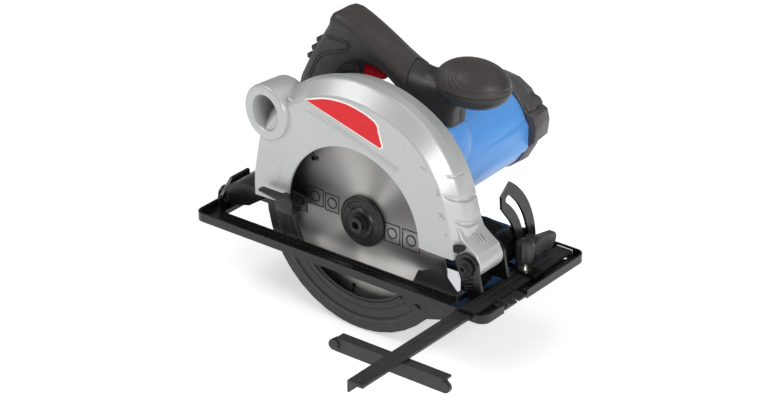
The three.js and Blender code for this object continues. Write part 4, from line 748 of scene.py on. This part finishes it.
def knobPieces():
    centre = Vector(knob["centre"])
    pad = knobBall(0.1, 300, 200)
    keepSide(pad, (0, 0, knob["seamZ"] + 0.35), (0, 0, -1))
    # Curved grooves wrap one side of a smooth oval panel.
    facing = Vector((0.45, -0.42, 0.79)).normalized()
    side = Vector((0.82, 0.57, 0)).normalized()
    rise = facing.cross(side).normalized()
    pad.normal_update()
    step = knob["grooveStep"]
    for vert in pad.verts:
        arm = vert.co - centre
        a = (arm.dot(side) - knob["panelShift"][0]) / knob["panelSize"][0]
        b = (arm.dot(rise) - knob["panelShift"][1]) / knob["panelSize"][1]
        reach = math.hypot(a, b)
        if arm.dot(facing) < -6 or vert.co.z < knob["seamZ"] + 2.5:
            continue
        depth = 0.55 * max(0.0, 1 - abs(reach - 1.0) / 0.06)
        turn = math.degrees(math.atan2(b, a))
        if reach > 1.05 and (turn > 60 or turn < -150):
            wave = math.cos((reach - 1.0) * 2 * math.pi / step)
            depth = 0.5 * max(0.0, wave) ** 4
        vert.co -= vert.normal * depth
    bmesh.ops.holes_fill(pad, edges=[e for e in pad.edges if e.is_boundary], sides=0)
    finishPiece("knob_pad_skin", pad, "skin", "saw_head", ["knob_pad"], 0, 50)
    bowl = knobBall(0, 128, 96)
    keepSide(bowl, (0, 0, knob["seamZ"] - 0.35), (0, 0, 1))
    bmesh.ops.holes_fill(bowl, edges=[e for e in bowl.edges if e.is_boundary], sides=0)
    finishPiece("knob_bowl_shell", bowl, "nylon", "saw_head", ["knob_bowl"], 0, 50)
    core = knobBall(-1.0)
    finishPiece("knob_core", core, "rubber", "saw_head", [], 0, 60)
    neck = bmesh.new()
    bmesh.ops.create_uvsphere(neck, u_segments=64, v_segments=40, radius=1)
    bmesh.ops.scale(neck, vec=knob["neckRadii"], verts=neck.verts)
    tilt = Matrix.Rotation(math.radians(knob["neckTilt"]), 3, "Y")
    bmesh.ops.rotate(neck, cent=(0, 0, 0), matrix=tilt, verts=neck.verts)
    bmesh.ops.translate(neck, vec=knob["neckCentre"], verts=neck.verts)
    finishPiece("knob_neck", neck, "nylon", "saw_head", [], 0, 60)


knobPieces()
print("handle made")

# Blade, flanges and bolt.
fromCad("saw_blade", "blade", 0.12, segments=1)


def bladeTips():
    # Brazed carbide tips on the teeth.
    tips = bmesh.new()
    for i in range(saw["bladeTeeth"]):
        tip = block((88.5, -1.3, -2.2), (94.9, 1.3, 0), 0.15, 1)
        turn = Matrix.Rotation(-math.radians(i * 360 / saw["bladeTeeth"] + 0.6), 4, "Y")
        bmesh.ops.transform(tip, matrix=Matrix.Translation(arbor) @ turn, verts=tip.verts)
        join(tips, tip)
    finishPiece("carbide_tips", tips, "carbon", "spindle_group", [], 0, 30)


bladeTips()


# Printed marks on the blade, and painted shade in its open expansion slots: each frame's x, z, width and height,
# and the angles of the expansion slots.
bladeMarks = {"nearY": -1.16, "frames": [(-63.7, 35.4, 18.6, 17.2), (-43.5, 34.2, 15.6, 16.8),
                                         (21.6, 24.8, 17.4, 18.4), (41.2, 23.8, 19.2, 19.2)],
              "lineWidth": 0.8, "slotAngles": (20, 140, 260), "slotRadius": 68.2}


def bladePrint():
    # Plain printed frames with a ring in each, and dark sheets in the expansion slots: painted shade standing for
    # the open cuts.
    prints = bmesh.new()
    near = bladeMarks["nearY"]
    for x, z, wide, tall in bladeMarks["frames"]:
        frameMark = bmesh.new()
        face = frameMark.faces.new([frameMark.verts.new((x + a, near, z + b))
                                    for a, b in ((0, 0), (wide, 0), (wide, tall), (0, tall))])
        frameMark.normal_update()
        bmesh.ops.inset_region(frameMark, faces=[face], thickness=bladeMarks["lineWidth"],
                               use_even_offset=True, use_boundary=True)
        bmesh.ops.delete(frameMark, geom=[face], context="FACES")
        more = bmesh.ops.extrude_face_region(frameMark, geom=frameMark.faces[:])["geom"]
        moved = [g for g in more if isinstance(g, bmesh.types.BMVert)]
        bmesh.ops.translate(frameMark, vec=(0, 0.05, 0), verts=moved)
        outward(frameMark)
        ring = turned([(4.2, near), (5.4, near), (5.4, near + 0.05), (4.2, near + 0.05), (4.2, near)],
                      (x + wide / 2, 0, z + tall / 2), (0, 1, 0), 32)
        join(prints, frameMark, ring)
    finishPiece("blade_print", prints, "carbon", "spindle_group", [], 0, 30)
    # Painted shade: a dark sheet over each slot and its end hole.
    slotShade = bmesh.new()
    for angle in bladeMarks["slotAngles"]:
        turn = math.radians(angle)
        out = Vector((math.cos(turn), 0, math.sin(turn)))
        middle = arbor + out * bladeMarks["slotRadius"]
        slotEndShade = rod(middle + Vector((0, near, 0)), middle + Vector((0, near + 0.1, 0)), 2.2, 24, 0.02)
        slotLineShade = block((68, near, -0.45), (94, near + 0.1, 0.45), 0)
        spin = Matrix.Translation(arbor) @ Matrix.Rotation(-turn, 4, "Y")
        bmesh.ops.transform(slotLineShade, matrix=spin, verts=slotLineShade.verts)
        join(slotShade, slotEndShade, slotLineShade)
    finishPiece("blade_slots_painted_shade", slotShade, "carbon", "spindle_group", [], 0, 30)


bladePrint()


def flangePieces():
    face = -5.5
    profile = [(4.3, -1.1), (23.2, -1.1), (23.5, -1.4), (23.5, -4.3), (23, -5), (22, face), (19.6, face),
               (19.2, face + 0.3), (18.8, face), (14.6, face), (14, face - 0.3), (13.3, -7), (12.8, -7.5),
               (9.9, -7.5), (9.6, -7.2), (4.3, -7.2), (4.3, -1.1)]
    shape = turned(profile, arbor, (0, 1, 0), 96)
    for angle in (-45, 135):
        turn = math.radians(angle)
        spot = arbor + Vector((17.4 * math.cos(turn), 0, 17.4 * math.sin(turn)))
        eye = [(1.9, face + 0.1), (1.9, face - 0.5), (2.3, face - 0.6), (2.9, face - 0.4), (3.1, face + 0.1),
               (1.9, face + 0.1)]
        join(shape, turned(eye, spot, (0, 1, 0), 28))
    finishPiece("outer_flange_face", shape, "blackSteel", "spindle_group", ["outer_flange"], 0, 30)
    fromCad("blade_bolt", "blackSteel", 0.35, 30)


flangePieces()


# Lower guard.
def lowerRidges(shape):
    # Three pressed ridges along the near face.
    near = -11
    for radius, width, height in ((89.5, 2.6, 1.1), (73.4, 1.8, 1.0), (79.5, 1.0, 0.4)):
        start = (math.cos(math.radians(-179)), 0, math.sin(math.radians(-179)))
        profile = [(radius - width, near + 0.05), (radius - width * 0.5, near - height * 0.85),
                   (radius, near - height), (radius + width * 0.5, near - height * 0.85),
                   (radius + width, near + 0.05)]
        span = 138 if radius > 80 else 130
        ridge = turned(profile, arbor, (0, 1, 0), 90, -span, start)
        join(shape, ridge)


fromCad("lower_guard", "satin", 0.7, 40, lowerRidges)


def guardLever():
    # A flat tab to push with a finger, and the block that carries it past the edge of the window.
    tab = plate([(-98.5, -26), (-98.5, -19.4), (-58, -19.4), (-58, -30), (-77, -30)], 45.2, 47.8, "z")
    rounded(tab, tab.edges[:], 0.7, 3)
    carrier = block((-76.6, -29.8, 34.6), (-57.4, -15.8, 47.6), 1.3, 3)
    web = block((-69, -17, 38), (-59, -10.4, 45), 0.8, 2)
    join(tab, carrier, web)
    finishPiece("guard_lever_tab", tab, "enamel", "swing_guard", ["guard_lever"], 0, 34)


guardLever()
fromCad("guard_rivet", "satin", 0.4)

# Base and fence.
bead = {"height": 0.8, "width": 7, "rows": (46, 103), "from": -142, "to": 84}


def baseBeads(shape):
    # Long pressed beads that stiffen the wide land.
    for y in bead["rows"]:
        half = bead["width"] / 2
        outline = []
        for cx, start in ((bead["to"], -90), (bead["from"], 90)):
            for i in range(9):
                turn = math.radians(start + i * 22.5)
                outline.append((cx + half * math.cos(turn), y + half * math.sin(turn)))
        bar = plate(outline, 1.6, 2 + bead["height"], "z")
        rims = [e for e in bar.edges if all(v.co.z > 2.5 for v in e.verts)]
        rounded(bar, rims, 0.6, 3)
        join(shape, bar)


fromCad("base_plate", "enamel", 0.55, 38, baseBeads)
for node, look, width in (
        ("bevel_quadrant", "enamel", 0.35), ("fence_bridge", "enamel", 0.5), ("cut_line_guide", "nylon", 0.4),
        ("front_bevel_pin", "blackSteel", 0.4), ("rear_bevel_pin", "blackSteel", 0.4),
        ("fence_bar", "satin", 0.45), ("fence_shoe", "satin", 0.6), ("front_yoke", "enamel", 0.6),
        ("depth_guide", "enamel", 0.7), ("bevel_bolt", "zinc", 0.3), ("bevel_wing_knob", "nylon", 1.4),
        ("trigger", "red", 1.6), ("lock_off_button", "nylon", 0.7), ("depth_lever", "nylon", 1.0),
        ("spindle_lock", "nylon", 0.6), ("cord_gland", "rubber", 0.8), ("handle_screw_rear", "zinc", 0.3),
        ("handle_screw_front", "zinc", 0.3), ("guard_bumper", "rubber", 0.5),
        ("brush_cap_upper", "nylon", 0.4), ("brush_cap_lower", "nylon", 0.4)):
    fromCad(node, look, width)


def frontHardware():
    # The pivot bolt with its nut, a plated screw on the base, and a wire spring beside the yoke.
    pivot = (saw["pivotX"], 0, saw["pivotZ"])
    head = [(0, -17.2), (1.9, -17.2), (2.1, -18.9), (3.6, -19.1), (4.3, -18.6), (4.4, -17), (5.2, -16.8),
            (5.4, -16.2), (7.4, -16.1), (7.9, -15.7), (8, -14.6), (8, -13.7), (0, -13.7)]
    bolt = turned(head, pivot, (0, 1, 0), 64)
    join(bolt, rod((pivot[0], -14, pivot[2]), (pivot[0], 33, pivot[2]), 4, 40, 0.5))
    nut = turned([(0, 27.5), (6.4, 27.5), (7, 28.1), (7, 31.8), (6.4, 32.5), (0, 32.5)], pivot, (0, 1, 0), 6)
    join(bolt, nut)
    finishPiece("depth_pivot_bolt_turned", bolt, "blackSteel", "carriage", ["depth_pivot_bolt"], 0, 30)
    screw = turned([(0, 0), (6.2, 0), (6.2, 1.1), (4.4, 1.2), (4.4, 4.6), (3.8, 5.6), (2.4, 6.2), (0, 6.3)],
                   (124, 61.8, 8.2), (0, 0, 1), 40)
    finishPiece("fence_clamp_screw", screw, "zinc", "base", [], 0, 30)
    turns = [Vector((121.6 + 2.6 * math.cos(t), -14.6 + 2.6 * math.sin(t), 16.6 + 0.62 * t))
             for t in [i * 0.5 for i in range(38)]]
    wire = [Vector((118, -14.6, 15.4))] + turns + [Vector((120, -14.8, 30.2))]
    spring = bmesh.new()
    tube(spring, wire, 0.55)
    finishPiece("yoke_wire_spring", spring, "blackSteel", "carriage", [], 0, 60)


frontHardware()


def fenceKnob():
    # A ribbed barrel on a plated screw.
    axis = Vector((129, 57, 0))
    head = turned([(0, 15.4), (6.6, 15.4), (7.6, 16.4), (8.3, 18.4), (8.6, 24), (8.4, 31.6), (7.7, 33.9),
                   (6.2, 34.9), (4, 35.2), (3.6, 34.6), (0, 34.5)], axis, (0, 0, 1), 80)
    for vert in head.verts:
        arm = vert.co - axis
        reach = math.hypot(arm.x, arm.y)
        if reach > 6:
            grip = 1 + 0.035 * math.cos(10 * math.atan2(arm.y, arm.x)) * min(1.0, (reach - 6) / 2)
            vert.co.x = axis.x + arm.x * grip
            vert.co.y = axis.y + arm.y * grip
    finishPiece("fence_knob_barrel", head, "nylon", "fence_screw", ["fence_knob"], 0, 30)
    screw = turned([(0, 8), (6.4, 8), (6.5, 8.2), (6.5, 9.2), (3.4, 9.3), (3.2, 9.6), (3.2, 15.6), (0, 15.6)],
                   axis, (0, 0, 1), 40)
    finishPiece("fence_knob_screw", screw, "zinc", "fence_screw", [], 0, 30)


fenceKnob()

# What is inside keeps its CAD mesh.
inside = {
    "guard_spring": "bright", "stator": "sheets", "field_coil_front": "copper", "field_coil_rear": "copper",
    "brush_upper": "carbon", "brush_lower": "carbon", "brush_holder_upper": "bright",
    "brush_holder_lower": "bright",
    "spindle_bearing": "bright", "spindle_end_bearing": "bright", "motor_bearing_front": "bright",
    "motor_bearing_rear": "bright", "bearing_bridge": "nylon", "switch_body": "nylon", "spindle": "bright",
    "drive_gear": "bright", "inner_flange": "blackSteel", "armature_shaft": "bright",
    "armature_core": "sheets", "commutator": "copper", "cooling_fan": "nylon",
}
for node, look in inside.items():
    nodes[node].data.materials.clear()
    nodes[node].data.materials.append(paint[look])
print("fittings made")

# Floor, light and camera.
studio = {"floorZ": -0.0655, "floorSize": 30, "floorGlow": 0.5, "keyPower": 13, "fillPower": 26,
          "topPower": 5, "worldLight": 0.22}


def stageFloor():
    # A pale sheet lit a little from within, so that shadows on it stay faint.
    shape = bmesh.new()
    bmesh.ops.create_grid(shape, x_segments=1, y_segments=1, size=studio["floorSize"] / 2)
    bmesh.ops.translate(shape, vec=(0, 0, studio["floorZ"]), verts=shape.verts)
    mesh = bpy.data.meshes.new("floor")
    shape.to_mesh(mesh)
    shape.free()
    floor = bpy.data.objects.new("floor", mesh)
    bpy.context.scene.collection.objects.link(floor)
    material, _, shader = finish("pale studio floor", {
        "colour": "#F4F4F4", "shade": "#F2F2F2", "roughness": (0.8, 0.9), "mottleSize": 400.0, "grains": []})
    shader.inputs["Emission Color"].default_value = (1, 1, 1, 1)
    shader.inputs["Emission Strength"].default_value = studio["floorGlow"]
    floor.data.materials.append(material)


def softbox(name, power, size, spot, target):
    data = bpy.data.lights.new(name, "AREA")
    data.energy = power
    data.shape = "RECTANGLE"
    data.size, data.size_y = size
    lamp = bpy.data.objects.new(name, data)
    lamp.location = spot
    lamp.rotation_euler = (Vector(target) - Vector(spot)).to_track_quat("-Z", "Y").to_euler()
    bpy.context.scene.collection.objects.link(lamp)


def studioLight():
    stageFloor()
    softbox("key softbox", studio["keyPower"], (1.1, 0.8), (-0.95, -0.75, 1.4), (0, -0.03, 0.08))
    softbox("fill softbox", studio["fillPower"], (0.9, 0.9), (1.75, -0.75, 1.0), (0, 0, 0.05))
    softbox("top softbox", studio["topPower"], (1.4, 1.0), (0.3, 0.5, 1.8), (0, 0, 0))
    world = bpy.data.worlds.new("studio")
    world.use_nodes = True
    world.node_tree.nodes["Background"].inputs[0].default_value = (1, 1, 1, 1)
    world.node_tree.nodes["Background"].inputs[1].default_value = studio["worldLight"]
    bpy.context.scene.world = world
    bpy.context.scene.view_settings.view_transform = "Standard"


view = {"azimuth": 37.80, "elevation": 26.86, "distance": 2.6201, "target": (0.0092, -0.0487, 0.0501),
        "lens": 139.66, "sensor": 36}


def sawCamera():
    data = bpy.data.cameras.new("camera")
    data.sensor_width = view["sensor"]
    data.lens = view["lens"]
    data.clip_start = 0.05
    data.clip_end = 50
    camera = bpy.data.objects.new("camera", data)
    turn, rise = math.radians(view["azimuth"]), math.radians(view["elevation"])
    target = Vector(view["target"])
    toCamera = Vector((math.sin(turn) * math.cos(rise), -math.cos(turn) * math.cos(rise), math.sin(rise)))
    camera.location = target + view["distance"] * toCamera
    camera.rotation_euler = (target - camera.location).to_track_quat("-Z", "Y").to_euler()
    bpy.context.scene.collection.objects.link(camera)
    bpy.context.scene.camera = camera


studioLight()
sawCamera()
print("studio made")
